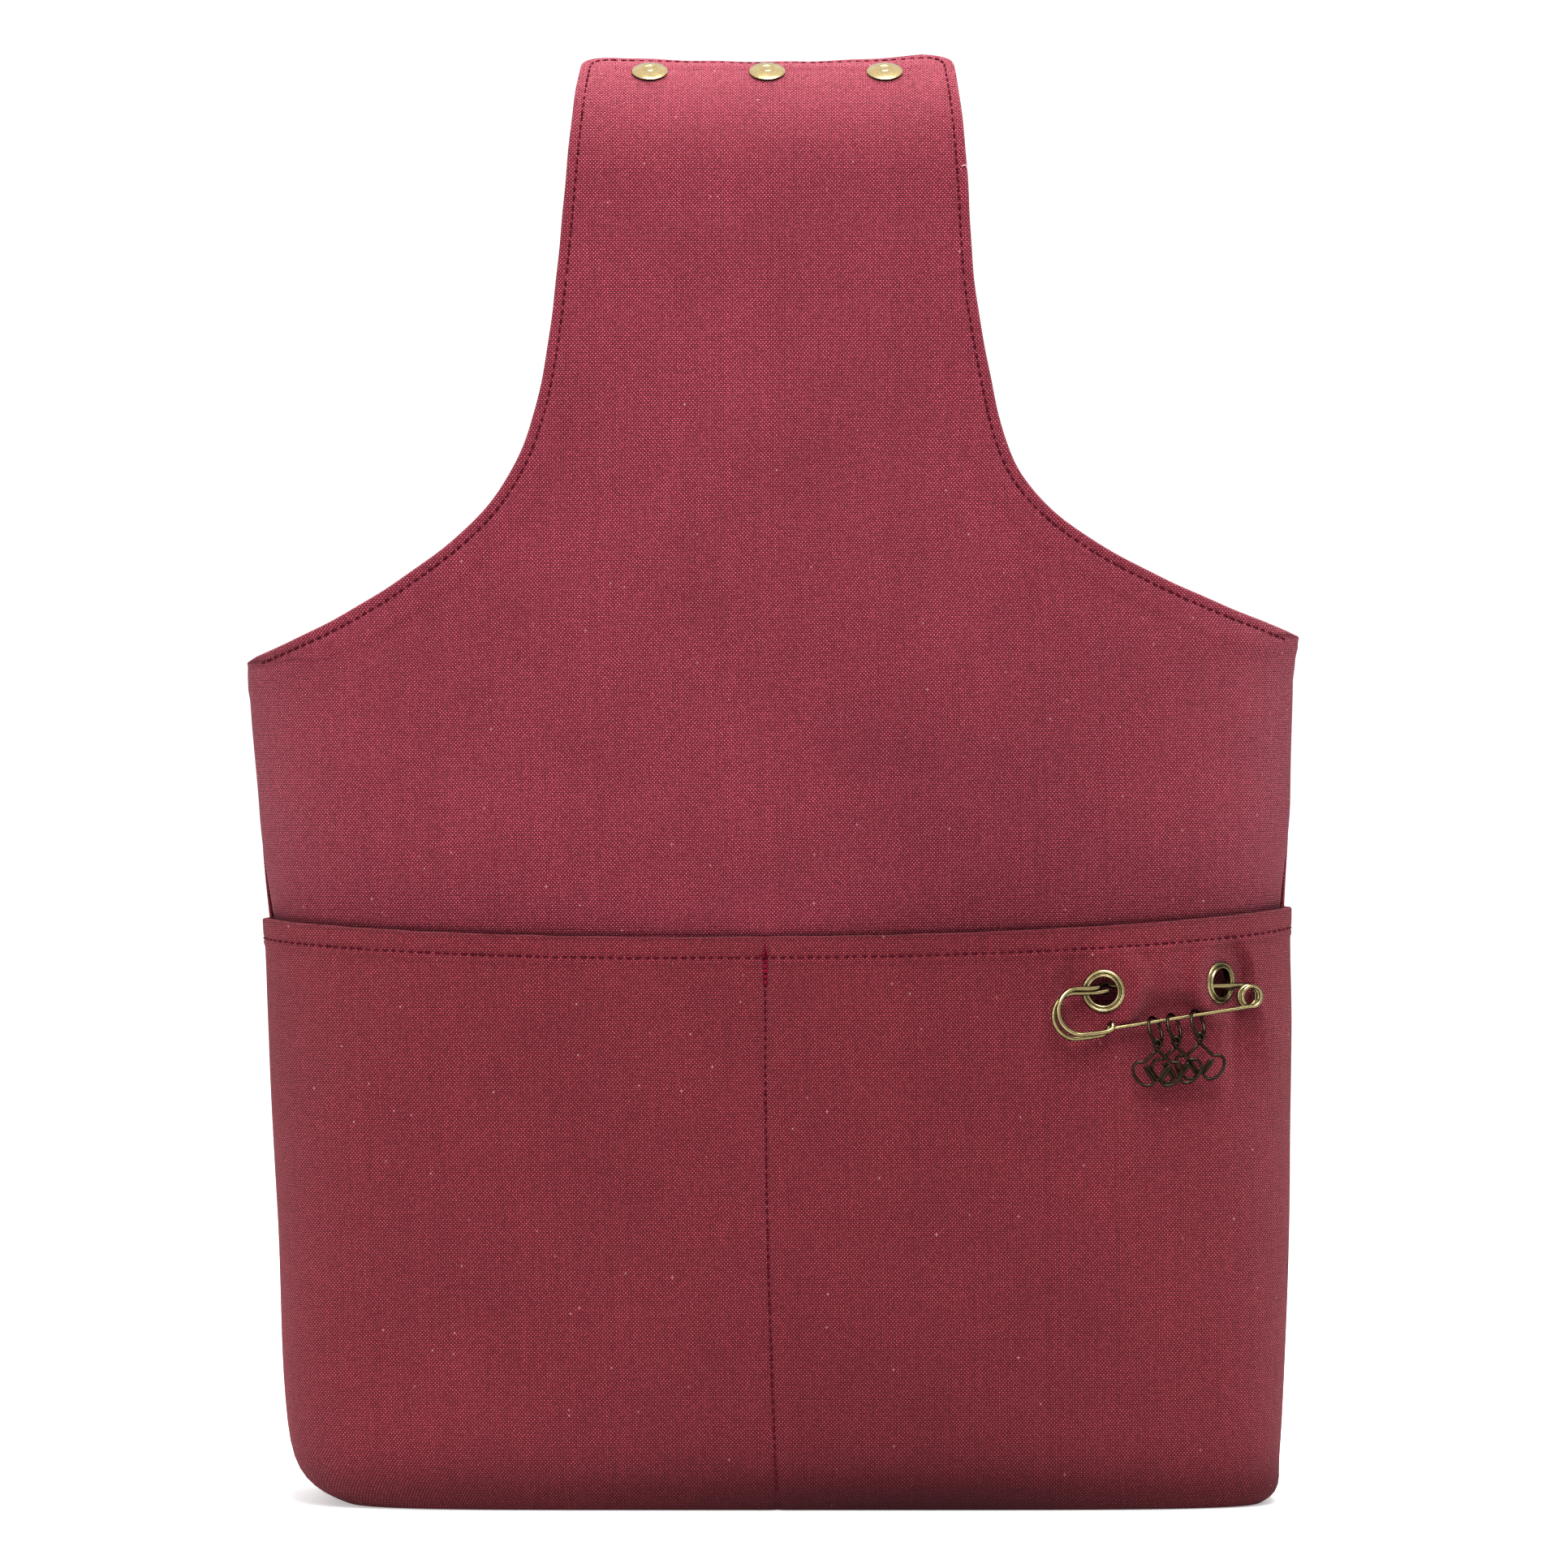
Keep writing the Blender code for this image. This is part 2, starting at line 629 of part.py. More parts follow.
def pin_frame_matrix():
    """Pin coordinates: X along the arm to the right, Y out from the canvas, Z up."""
    left, right = [m.translation for m in eyelet_places()]
    middle = (left + right) / 2
    turn = math.radians(PIN_YAW)
    along = Vector((math.cos(turn), math.sin(turn), 0.0))
    out = Vector((math.sin(turn), -math.cos(turn), 0.0))
    matrix = Matrix((along, out, Vector((0, 0, 1)))).transposed().to_4x4()
    matrix.translation = Vector((middle.x, middle.y, 0.0))
    return matrix


def arc_points(centre, radius, start, stop, steps, out_from, out_to):
    """Points of an arc in the pin's plane, moving outwards from one distance to another."""
    points = []
    for k in range(steps + 1):
        share = k / steps
        angle = math.radians(start + (stop - start) * share)
        out = out_from + (out_to - out_from) * share
        points.append(Vector((centre[0] + radius * math.cos(angle), out, centre[1] + radius * math.sin(angle))))
    return points


def coil_centre():
    return COIL_U, PIN_ARM_Z - COIL_R


def pin_frame_points():
    """The frame's wire, from its end in the left eyelet round the head to the coil."""
    head_z = PIN_ARM_Z - HEAD_R
    catch_out = NEEDLE_OUT[0]
    leg = 0.00135
    points = [Vector((-0.0196, -0.0002, PIN_ARM_Z - 0.0017)), Vector((-0.0228, -0.0003, PIN_ARM_Z - 0.0017)),
              Vector((-0.0255, -0.0013, PIN_ARM_Z - 0.0009))]
    points += arc_points((HEAD_U - 0.0002, head_z - 0.0002), HEAD_R + 0.0009, 108, 262, 14, -0.0019, catch_out - leg)
    points.append(Vector((CATCH_U - 0.0030, catch_out - leg, CATCH_Z - 0.0012)))
    points.append(Vector((CATCH_U - 0.0008, catch_out - leg, CATCH_Z - 0.0004)))
    for k in range(7):
        angle = math.pi * k / 6
        points.append(Vector((CATCH_U, catch_out - leg * math.cos(angle), CATCH_Z + 0.0002 + leg * math.sin(angle))))
    points.append(Vector((CATCH_U - 0.0008, catch_out + leg, CATCH_Z - 0.0004)))
    points.append(Vector((CATCH_U - 0.0030, catch_out + leg, CATCH_Z - 0.0010)))
    points += arc_points((HEAD_U, head_z), HEAD_R, 270, 90, 14, catch_out + leg, 0.0)
    points.append(Vector((-0.0120, 0.0, PIN_ARM_Z)))
    points.append(Vector((0.0, 0.0, PIN_ARM_Z)))
    points.append(Vector((0.0140, 0.0, PIN_ARM_Z)))
    points += arc_points(coil_centre(), COIL_R, 90, -380, 36, 0.0, NEEDLE_OUT[1] - 0.0016)
    return points


def needle_points():
    """A full turn at the front of the coil, then straight to the catch."""
    out = NEEDLE_OUT[1]
    slope = math.degrees(math.atan2(PIN_ARM_Z - 2 * COIL_R - CATCH_Z, COIL_U - CATCH_U))
    points = arc_points(coil_centre(), COIL_R, 225, -90 - slope, 24, out, out)
    last = points[-1]
    tip = Vector((CATCH_U - 0.0012, NEEDLE_OUT[0], CATCH_Z - 0.0001))
    for share in (0.08, 0.3, 0.55, 0.8, 1.0):
        points.append(last.lerp(tip, share))
    return points


def needle_at(u):
    """Centre of the needle at a place along the pin."""
    points = needle_points()
    start = points[-6]
    tip = points[-1]
    return start.lerp(tip, (start.x - u) / (start.x - tip.x))


def make_pin(swing_pivot, needle_pivot):
    matrix = pin_frame_matrix()
    frame = [matrix @ p for p in pin_frame_points()]
    needle = [matrix @ p for p in needle_points()]
    wire("pin_frame", frame, PIN_WIRE_R, swing_pivot, "brass")
    wire("pin_needle", needle, NEEDLE_R, needle_pivot, "brass")


# ---------------------------------------------------------------- stitch markers

def marker_frames(number):
    """Needle point, ring centre, ring axes and charm eye of one marker, in bag coordinates."""
    pin = pin_frame_matrix()
    turn = pin.to_3x3()
    needle = pin @ needle_at(MARKER_U[number])
    tilt = math.radians(RING_TILT)
    down = turn @ Vector((0.0, math.sin(tilt), -math.cos(tilt)))
    across = turn @ Vector((-math.sqrt(0.5), math.sqrt(0.5) * math.cos(tilt), math.sqrt(0.5) * math.sin(tilt)))
    centre = needle + down * (RING_HALF[1] - NEEDLE_R - MARKER_WIRE_R - GAP)
    bottom = centre + down * RING_HALF[1]
    eye = bottom + Vector((0.0, 0.0, -0.0001))
    return needle, centre, across, down, eye


def charm_points(eye):
    """One bent wire: a lobe, a straight leg to the eye, round the eye, and the same back down."""
    half = []
    for k in range(9):
        angle = math.radians(95 - 250 * k / 8)
        half.append((0.0040 + 0.0023 * math.cos(angle), -0.0092 + 0.0026 * math.sin(angle)))
    leg = [(0.0009, -0.0098), (0.0034, -0.0058)]
    ring = []
    for k in range(5):
        angle = math.radians(-52 + 142 * k / 4)
        ring.append((EYE_R * math.cos(angle), EYE_R * math.sin(angle)))
    right = half + leg + ring
    left = [(-x, z) for x, z in reversed(right[:-1])]
    return [eye + Vector((x, 0.0, z)) for x, z in right + left]


def make_markers(ring_pivots, charm_pivots):
    for number in range(3):
        _, centre, across, down, eye = marker_frames(number)
        ring = []
        for k in range(16):
            angle = 2.0 * math.pi * k / 16
            ring.append(centre + across * RING_HALF[0] * math.cos(angle) + down * RING_HALF[1] * math.sin(angle))
        wire(f"marker_ring_{number + 1}", ring, MARKER_WIRE_R, ring_pivots[number], "bronze", closed=True)
        wire(f"marker_charm_{number + 1}", charm_points(eye), MARKER_WIRE_R, charm_pivots[number], "bronze")


# ---------------------------------------------------------------- the whole bag

def make_pivots():
    """Every joint's empty, each on its axis."""
    bag = pivot("bag", (0.0, 0.0, 0.0))
    neck = pivot("front_neck_fold", (NECK_CENTRE, -FRONT_ARCH_R, NECK_FOLD_Z), bag)
    knee = math.radians(STRAP_KNEE)
    middle = FRONT_ARCH_R - CANVAS / 2
    knee_place = (NECK_CENTRE, -middle * math.cos(knee), ARCH_Z + middle * math.sin(knee))
    tip = pivot("strap_end_peel", knee_place, neck)
    pin = pin_frame_matrix()
    swing = pivot("pin_swing", pin @ Vector((0.0, 0.0, PIN_ARM_Z)), bag)
    coil_u, coil_z = coil_centre()
    needle = pivot("needle_open", pin @ Vector((coil_u, NEEDLE_OUT[1], coil_z)), swing)
    rings = []
    charms = []
    for number in range(3):
        needle_point, _, _, _, eye = marker_frames(number)
        rings.append(pivot(f"marker_{number + 1}_swing", needle_point, needle))
        charms.append(pivot(f"charm_{number + 1}_sway", eye, rings[-1]))
    return bag, neck, tip, swing, needle, rings, charms


def centre_over_origin(bag):
    """Moves the whole bag so that the origin is under the middle of its box."""
    bpy.context.view_layer.update()
    depsgraph = bpy.context.evaluated_depsgraph_get()
    low = Vector((1.0, 1.0, 1.0))
    high = Vector((-1.0, -1.0, -1.0))
    for obj in bpy.context.scene.objects:
        if obj.type == "EMPTY" or obj.hide_render:
            continue
        shape = obj.evaluated_get(depsgraph)
        mesh = shape.to_mesh()
        for vertex in mesh.vertices:
            place = shape.matrix_world @ vertex.co
            low = Vector(map(min, low, place))
            high = Vector(map(max, high, place))
        shape.to_mesh_clear()
    bag.location = (-(low.x + high.x) / 2, -(low.y + high.y) / 2, -low.z)


def main():
    for obj in list(bpy.data.objects):
        bpy.data.objects.remove(obj, do_unlink=True)
    bag, neck, tip, swing, needle, rings, charms = make_pivots()
    make_front(bag, neck, tip)
    make_back(bag)
    columns = make_pocket(bag)
    make_threads(bag, columns)
    make_snaps(bag, tip)
    make_eyelets(bag)
    make_pin(swing, needle)
    make_markers(rings, charms)
    centre_over_origin(bag)
    bpy.context.view_layer.update()


main()
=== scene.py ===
"""Looks of the knitting bag: canvas with turned, topstitched edges, lining, snaps, eyelets, pin and markers.

Everything is in metres in the CAD's frame. The cloth follows the same wall functions as the CAD, on finer
grids: a point of a wall has a column t from -1 to 1 and a height h that runs on up the neck and round the
wrist arch. Each vertex of cloth stores its place on the flat cloth, which the weave is drawn from.
"""
import json
import math
import random

import bpy
import numpy as np
from mathutils import Matrix, Vector
from mathutils.kdtree import KDTree


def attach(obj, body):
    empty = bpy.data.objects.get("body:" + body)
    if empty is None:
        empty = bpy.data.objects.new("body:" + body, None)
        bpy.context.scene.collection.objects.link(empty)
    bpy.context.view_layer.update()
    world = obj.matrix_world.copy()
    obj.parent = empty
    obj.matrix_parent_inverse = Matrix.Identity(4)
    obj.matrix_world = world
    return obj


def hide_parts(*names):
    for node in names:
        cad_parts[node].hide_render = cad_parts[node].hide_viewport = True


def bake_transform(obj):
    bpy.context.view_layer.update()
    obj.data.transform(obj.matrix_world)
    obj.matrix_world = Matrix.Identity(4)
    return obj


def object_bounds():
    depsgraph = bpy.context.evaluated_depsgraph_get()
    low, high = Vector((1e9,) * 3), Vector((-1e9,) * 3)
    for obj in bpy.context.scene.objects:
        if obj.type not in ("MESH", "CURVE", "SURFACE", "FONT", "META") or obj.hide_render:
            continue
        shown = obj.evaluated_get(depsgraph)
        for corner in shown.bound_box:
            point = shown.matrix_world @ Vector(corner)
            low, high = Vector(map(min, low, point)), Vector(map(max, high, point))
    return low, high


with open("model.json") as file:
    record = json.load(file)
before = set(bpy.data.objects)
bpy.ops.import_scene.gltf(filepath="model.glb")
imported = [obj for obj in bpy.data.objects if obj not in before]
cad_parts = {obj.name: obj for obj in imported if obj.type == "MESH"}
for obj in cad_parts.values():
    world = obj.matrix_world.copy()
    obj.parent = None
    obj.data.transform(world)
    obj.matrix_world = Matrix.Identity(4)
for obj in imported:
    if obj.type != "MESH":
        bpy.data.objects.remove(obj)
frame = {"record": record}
CAD_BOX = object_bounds()

# Driving dimensions: the CAD's, but for slightly thicker wires and marker rings turned more to the front
SHOULDER_Z = 0.2460
ARCH_Z = 0.3800
NECK_FOLD_Z = 0.3120
FRONT_ARCH_R = 0.0380
BACK_ARCH_R = 0.0325
STRAP_END = 75.0
BACK_END = 36.0
STRAP_CORNER = 0.0080
SNAP_ANGLE = 57.0
SNAP_SPACING = 0.0337
NECK_CENTRE = -0.0048
CANVAS = 0.0010
LINING = 0.0005
GAP = 0.0003
LINING_SLACK = 0.0043
HEM_Z = 0.1642
HEM_RISE = 0.0056
POCKET_SLACK = 0.0080
EYELET_X = (0.0925, 0.1261)
EYELET_Z = (0.1487, 0.1502)
EYELET_YAW = (-9.0, 47.0)
EYELET_HOLE_R = 0.0040
EYELET_FLANGE_R = 0.00615
PUCKER = 0.0030
PRESS_OUT = 0.0004
PIN_WIRE_R = 0.00072
PIN_YAW = 19.0
PIN_ARM_Z = 0.1503
COIL_R = 0.0029
COIL_U = 0.0262
HEAD_U = -0.0260
HEAD_R = 0.0064
CATCH_U = -0.0167
CATCH_Z = 0.1389
HOOK_R = 0.00135
NEEDLE_R = 0.00058
NEEDLE_OUT = (0.0029, 0.0040)
MARKER_U = (-0.0038, 0.0019, 0.0091)
MARKER_WIRE_R = 0.00047
RING_HALF = (0.0029, 0.0040)
RING_TILT = 26.0
RING_FACE = 32.0
EYE_R = 0.00105
CHARM_CROSS = 0.00052    # how far in front and behind the wire passes where it crosses itself
COIL_CENTRE = (COIL_U, PIN_ARM_Z - COIL_R)

# Sewing
EDGE_STITCH = 0.0022     # topstitching, from the turned edge
HEM_STITCH = 0.0053      # stitching along the pocket's hem, from its top edge
STITCH_PITCH = 0.0026
STITCH_LENGTH = 0.0020

# Meshes
LOOSE_END_H = 0.3835
SPLIT_H = 0.3500         # height where the front neck's two pieces of cloth meet
TABLE_ROWS = 500
TABLE_COLUMNS = 900
RIM_STEPS = 4            # facets round a cloth's cut edge
BOTTOM_SEAM_RISE = 0.0012    # the seam under the bag stands this much off the floor
LINING_INSET = 0.0016
EYELET_CLEAR = 0.0043    # no cloth nearer to an eyelet's centre than this
NORMAL_STEP = 0.0004

CAMERA_DOWN = 1.07       # degrees below level
CAMERA_AWAY = 1.750
CAMERA_Z = 0.240
CAMERA_LENS = 138.1

JOINT_PLACES = {joint["name"]: Vector(joint["pos_m"]) for joint in frame["record"]["behaviour"]["joints"]}
SHIFT = JOINT_PLACES["front_neck_fold"] - Vector((NECK_CENTRE, -FRONT_ARCH_R, NECK_FOLD_Z))


def smooth(value):
    """0 below 0, 1 above 1, and an easy curve between, for numbers and arrays."""
    value = np.clip(value, 0.0, 1.0)
    return value * value * (3.0 - 2.0 * value)


def bell(value, middle, spread):
    return np.exp(-((value - middle) / spread) ** 2)


def directions(vectors):
    return vectors / np.maximum(np.linalg.norm(vectors, axis=-1, keepdims=True), 1e-9)


def run_along(path):
    """Distance travelled along a path, at each of its points."""
    return np.concatenate(([0.0], np.cumsum(np.linalg.norm(np.diff(path, axis=0), axis=1))))


# ---------------------------------------------------------------- shape of the walls

def half_width(z):
    foot = 0.0080 * np.exp(-z / 0.0045)
    return 0.1449 + 0.018 * z + 0.003 * smooth((z - 0.170) / 0.070) - foot


def slump(x, z):
    """The two sides hang a little differently: the left foot is rounder, the right side narrows downwards."""
    z = np.maximum(z, 0.0)
    left = 0.0090 * np.exp(-z / 0.0088) + 0.0010 * smooth((z - 0.035) / 0.05) * (1.0 - bell(z, 0.184, 0.018))
    right = 0.0010 * (1.0 - smooth((z - 0.100) / 0.045)) + 0.0022 * np.exp(-z / 0.028)
    for size, middle, spread in ((0.0010, 0.190, 0.020), (0.0040, 0.0, 0.0080), (0.0016, 0.247, 0.005)):
        right = right - size * bell(z, middle, spread)
    neck = 0.0028 * bell(z, 0.288, 0.024) + 0.0011 * bell(z, 0.352, 0.022)
    lower = 0.0018 * bell(z, 0.256, 0.012) * smooth((-x - 0.070) / 0.040)
    body = smooth((0.262 - z) / 0.020)
    x = x + body * left * smooth((-x - 0.060) / 0.080) - body * right * smooth((x - 0.060) / 0.080)
    return x - neck * smooth(x / 0.050), z - lower


def wall_depth(side, z):
    bulge = np.sin(math.pi * np.minimum(1.0, z / 0.210))
    foot = np.exp(-z / 0.008)
    if side == "front":
        return FRONT_ARCH_R + 0.005 * bulge - 0.006 * foot
    return BACK_ARCH_R + 0.007 * bulge - 0.001 * foot


def outline(h):
    neck = 0.05485 + 0.0836 * (0.400 - h)
    return neck + 0.1552 / (1.0 + np.exp((h - 0.2496) / 0.01742))


def section_tables(side):
    """x, distance from the seam plane and half the arc length, for every height and arc position."""
    places = np.linspace(-1.0, 1.0, TABLE_COLUMNS)
    turn = math.pi * (0.5 - 0.5 * np.cos(np.linspace(0.0, math.pi, 700)))
    tables = ([], [], [])
    for z in np.linspace(0.0, SHOULDER_Z, TABLE_ROWS):
        power = 2.0 / (2.5 + 2.5 * math.exp(-(z / 0.110) ** 2))
        x = -half_width(z) * np.sign(np.cos(turn)) * np.abs(np.cos(turn)) ** power
        y = wall_depth(side, z) * np.abs(np.sin(turn)) ** power
        run = run_along(np.stack((x, y), axis=-1))
        arc = 2.0 * run / run[-1] - 1.0
        tables[0].append(np.interp(places, arc, x))
        tables[1].append(np.interp(places, arc, y))
        tables[2].append(run[-1] / 2.0)
    return np.array(tables[0]), np.array(tables[1]), np.array(tables[2])


TABLES = {side: section_tables(side) for side in ("front", "back")}


def section_at(side, z, s):
    """x and distance from the seam plane at height z and arc position s."""
    row = np.clip(z / SHOULDER_Z, 0.0, 1.0) * (TABLE_ROWS - 1)
    column = np.clip((s + 1.0) / 2.0, 0.0, 1.0) * (TABLE_COLUMNS - 1)
    j = np.minimum(row.astype(int), TABLE_ROWS - 2)
    i = np.minimum(column.astype(int), TABLE_COLUMNS - 2)
    fj = row - j
    fi = column - i
    found = []
    for table in TABLES[side][:2]:
        low = table[j, i] * (1.0 - fi) + table[j, i + 1] * fi
        high = table[j + 1, i] * (1.0 - fi) + table[j + 1, i + 1] * fi
        found.append(low * (1.0 - fj) + high * fj)
    return found


def pushed_out(side, z, s, lift):
    """Section points moved by lift along the section's outward normal."""
    x, y = section_at(side, z, s)
    ahead = section_at(side, z, np.minimum(1.0, s + 0.01))
    behind = section_at(side, z, np.maximum(-1.0, s - 0.01))
    dx = ahead[0] - behind[0]
    dy = ahead[1] - behind[1]
    size = np.hypot(dx, dy)
    return x - lift * dy / size, y + lift * dx / size


def arc_length(side, z):
    row = np.clip(z / SHOULDER_Z, 0.0, 1.0) * (TABLE_ROWS - 1)
    return np.interp(row, np.arange(TABLE_ROWS), TABLES[side][2])


def lean(x, z):
    """The bag's slump, and its lean to one side."""
    x, z = slump(x, z)
    shift = 0.0010 + (NECK_CENTRE - 0.0010) * smooth(z / 0.300)
    tilt = 0.0213 * np.minimum(1.0, z / 0.240) ** 2 * (1.0 - smooth((z - 0.280) / 0.060))
    return x + shift, z + tilt * x


def strap_length(angle):
    return ARCH_Z + FRONT_ARCH_R * math.radians(angle)


BACK_LENGTH = ARCH_Z + BACK_ARCH_R * math.radians(180.0 - BACK_END)
FRONT_LENGTH = strap_length(STRAP_END)


def edge_half(side, h):
    """Half the panel's width across the neck, with the strap's rounded corners."""
    if side == "back":
        return outline(h)
    left = np.maximum(0.0, FRONT_LENGTH - h)
    inner = np.clip(STRAP_CORNER - left, 0.0, STRAP_CORNER)
    return outline(h) - (STRAP_CORNER - np.sqrt(STRAP_CORNER ** 2 - inner ** 2))


def edge_position(side, h):
    """Arc position of the panel's free edge on the section at shoulder height."""
    xs = TABLES[side][0][-1]
    places = np.linspace(-1.0, 1.0, TABLE_COLUMNS)
    found = np.interp(np.minimum(outline(h), half_width(SHOULDER_Z)), xs, places)
    return np.where(h > SHOULDER_Z, found, 1.0)


def drape(side, s, h):
    """Slow waves of the hanging cloth, none at the seams."""
    phase = 0.0 if side == "front" else 2.1
    wave = np.sin(9.0 * s + 23.0 * h + phase) * np.sin(31.0 * h + 3.0 * s + 1.3 * phase)
    wave += 0.6 * np.sin(17.0 * s - 14.0 * h + 2.0 + phase) * np.cos(47.0 * h + phase)
    return 0.00055 * wave * (1.0 - np.abs(s) ** 4) * smooth(h / 0.05) * (1.0 - smooth((h - 0.300) / 0.08))


def wall(side, t, h, lift=0.0):
    """World points and cloth places of a wall."""
    t, h, lift = np.broadcast_arrays(np.asarray(t, float), np.asarray(h, float), np.asarray(lift, float))
    z = np.minimum(h, SHOULDER_Z)
    s = t * edge_position(side, h)
    lift = lift + drape(side, s, h)
    x, y = pushed_out(side, z, s, lift)
    radius = FRONT_ARCH_R if side == "front" else BACK_ARCH_R
    flat = smooth((h - 0.290) / 0.080)
    turn = np.maximum(0.0, h - ARCH_Z) / radius
    straight = t * edge_half(side, h)
    u = s * arc_length(side, z)
    u = u + flat * (straight - u)
    x = x + flat * (straight - x)
    y = y + flat * ((radius + lift) * np.cos(turn) - y)
    z = np.minimum(h, ARCH_Z) + flat * (radius + lift) * np.sin(turn)
    return placed(side, x, y, z), np.stack((u, h), axis=-1)


def placed(side, x, y, z):
    """World points of wall points, with the bag's lean."""
    x, z = lean(x, z)
    y = -y if side == "front" else y
    return np.stack((x + SHIFT.x, y + SHIFT.y, z + SHIFT.z), axis=-1)


def wall_normals(point_at, *place):
    """Outward unit normals, from two lifts of the same points."""
    return directions(point_at(*place, NORMAL_STEP)[0] - point_at(*place, 0.0)[0])


def front_lift(h):
    return -(CANVAS + 1.5 * GAP) * (1.0 - smooth((h - 0.172) / 0.030))


def lining_lift(h):
    return -CANVAS - GAP - LINING_SLACK * (1.0 - smooth((h - 0.215) / 0.075))


# ---------------------------------------------------------------- pocket

def divider_column(h):
    """The column of the stitch line between the pockets, which wanders a little."""
    return (-0.0032 - 0.0016 * np.sin(math.pi * np.clip(h / HEM_Z, 0.0, 1.0))) / 0.178


def pocket_lift(t, z):
    middle = divider_column(z) * bell(t, 0.0, 0.2)
    stand = np.abs(np.sin(math.pi * np.abs(t - middle))) ** 0.8
    return POCKET_SLACK * stand * smooth((z - 0.020) / 0.130)


def pocket_wall(t, z, lift):
    """Pocket points in the wall's own frame, before the lean and the eyelets."""
    return pushed_out("front", z, t, lift + pocket_lift(t, z) + drape("front", t, z))


def find_eyelet_depths():
    """Distance of each eyelet's centre from the seam plane, as in the CAD, without the drape."""
    depths = []
    columns = np.linspace(0.3, 0.95, 120)
    for ex, ez in zip(EYELET_X, EYELET_Z):
        height = np.full_like(columns, ez)
        x, y = pocket_wall(columns, height, -CANVAS / 2 - drape("front", columns, height))
        depths.append(float(np.interp(ex, x, y)))
    middle = sum(depths) / 2
    drop = (EYELET_X[1] - EYELET_X[0]) / 2 * math.tan(math.radians(PIN_YAW))
    return middle + drop, middle - drop


EYELET_DEPTH = find_eyelet_depths()


def pressed(x, y, z, offset):
    left, right = EYELET_X
    share = (x - left) / (right - left)
    coil = smooth((share - 1.0) / 0.12)
    reach = smooth((share + 0.75) / 0.5) * smooth((1.75 - share) / 0.4)
    reach = reach * smooth((0.1490 + 0.0060 * coil - z) / 0.0050) * smooth((z - 0.116) / 0.014)
    out = PRESS_OUT - 0.0017 * coil - CANVAS / 2 + offset
    limit = EYELET_DEPTH[0] + share * (EYELET_DEPTH[1] - EYELET_DEPTH[0])
    limit = limit + out / math.cos(math.radians(PIN_YAW))
    return y + reach * (np.minimum(y, limit) - y)


def pocket_sheet(t, z, lift=0.0):
    """World points and cloth places of the pocket's cloth, flat round the eyelets."""
    t, z, lift = np.broadcast_arrays(np.asarray(t, float), np.asarray(z, float), np.asarray(lift, float))
    x, y = pocket_wall(t, z, lift)
    middle_x, _ = pocket_wall(t, z, np.full_like(t, -CANVAS / 2))
    between = 0.5 * (EYELET_X[0] + EYELET_X[1])
    y = y + PUCKER * np.exp(-((middle_x - between) / 0.009) ** 2 / 2 - ((z - 0.155) / 0.007) ** 2 / 2)
    offset = lift + CANVAS / 2
    y = pressed(middle_x, y, z, offset)
    for ex, ez, yaw, ey in zip(EYELET_X, EYELET_Z, EYELET_YAW, EYELET_DEPTH):
        turn = math.radians(yaw)
        reach = np.hypot((middle_x - ex) / math.cos(turn), z - ez)
        fade = 0.0050 + 0.0015 * smooth((z - ez) / 0.006 + 0.5)
        weight = 1.0 - smooth((reach - 0.0092) / fade)
        flat_x = middle_x + offset * math.sin(turn)
        flat_y = ey - (middle_x - ex) * math.tan(turn) + offset * math.cos(turn)
        x = x + weight * (flat_x - x)
        y = y + weight * (flat_y - y)
    return placed("front", x, y, z), np.stack((t * arc_length("front", z), z), axis=-1)


def pocket_height(t, row):
    rise = HEM_RISE * np.minimum(1.0, np.abs(t) * 1.1) ** 2
    return row + rise * smooth((row - 0.060) / 0.090)


# ---------------------------------------------------------------- meshes

def new_object(name, vertices, faces, material, body=None):
    mesh = bpy.data.meshes.new(name)
    mesh.from_pydata(np.asarray(vertices).tolist(), [], [list(face) for face in faces])
    mesh.validate()
    mesh.shade_smooth()
    mesh.materials.append(material)
    obj = bpy.data.objects.new(name, mesh)
    bpy.context.scene.collection.objects.link(obj)
    if body:
        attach(obj, body)
    return obj


def grid_faces(rows, columns, round_rows=False, round_columns=False):
    """Quads of a grid of points numbered row by row; a round direction joins its end to its start."""
    faces = []
    for j in range(rows if round_rows else rows - 1):
        here = j * columns
        after = (j + 1) % rows * columns
        for i in range(columns if round_columns else columns - 1):
            beside = (i + 1) % columns
            faces.append([here + i, here + beside, after + beside, after + i])
    return faces


def rod_faces(rings, sides, closed=False):
    """Faces of a rod of rings, with an end face at both ends unless it closes on itself."""
    faces = grid_faces(rings, sides, closed, True)
    if not closed:
        faces.append(list(reversed(range(sides))))
        faces.append([(rings - 1) * sides + k for k in range(sides)])
    return faces


def boundary_edges(quads):
    """Directed edges that only one face uses."""
    seen = {}
    for face in quads:
        for a, b in zip(face, face[1:] + face[:1]):
            key = (min(a, b), max(a, b))
            seen[key] = None if key in seen else (a, b)
    return [edge for edge in seen.values() if edge]


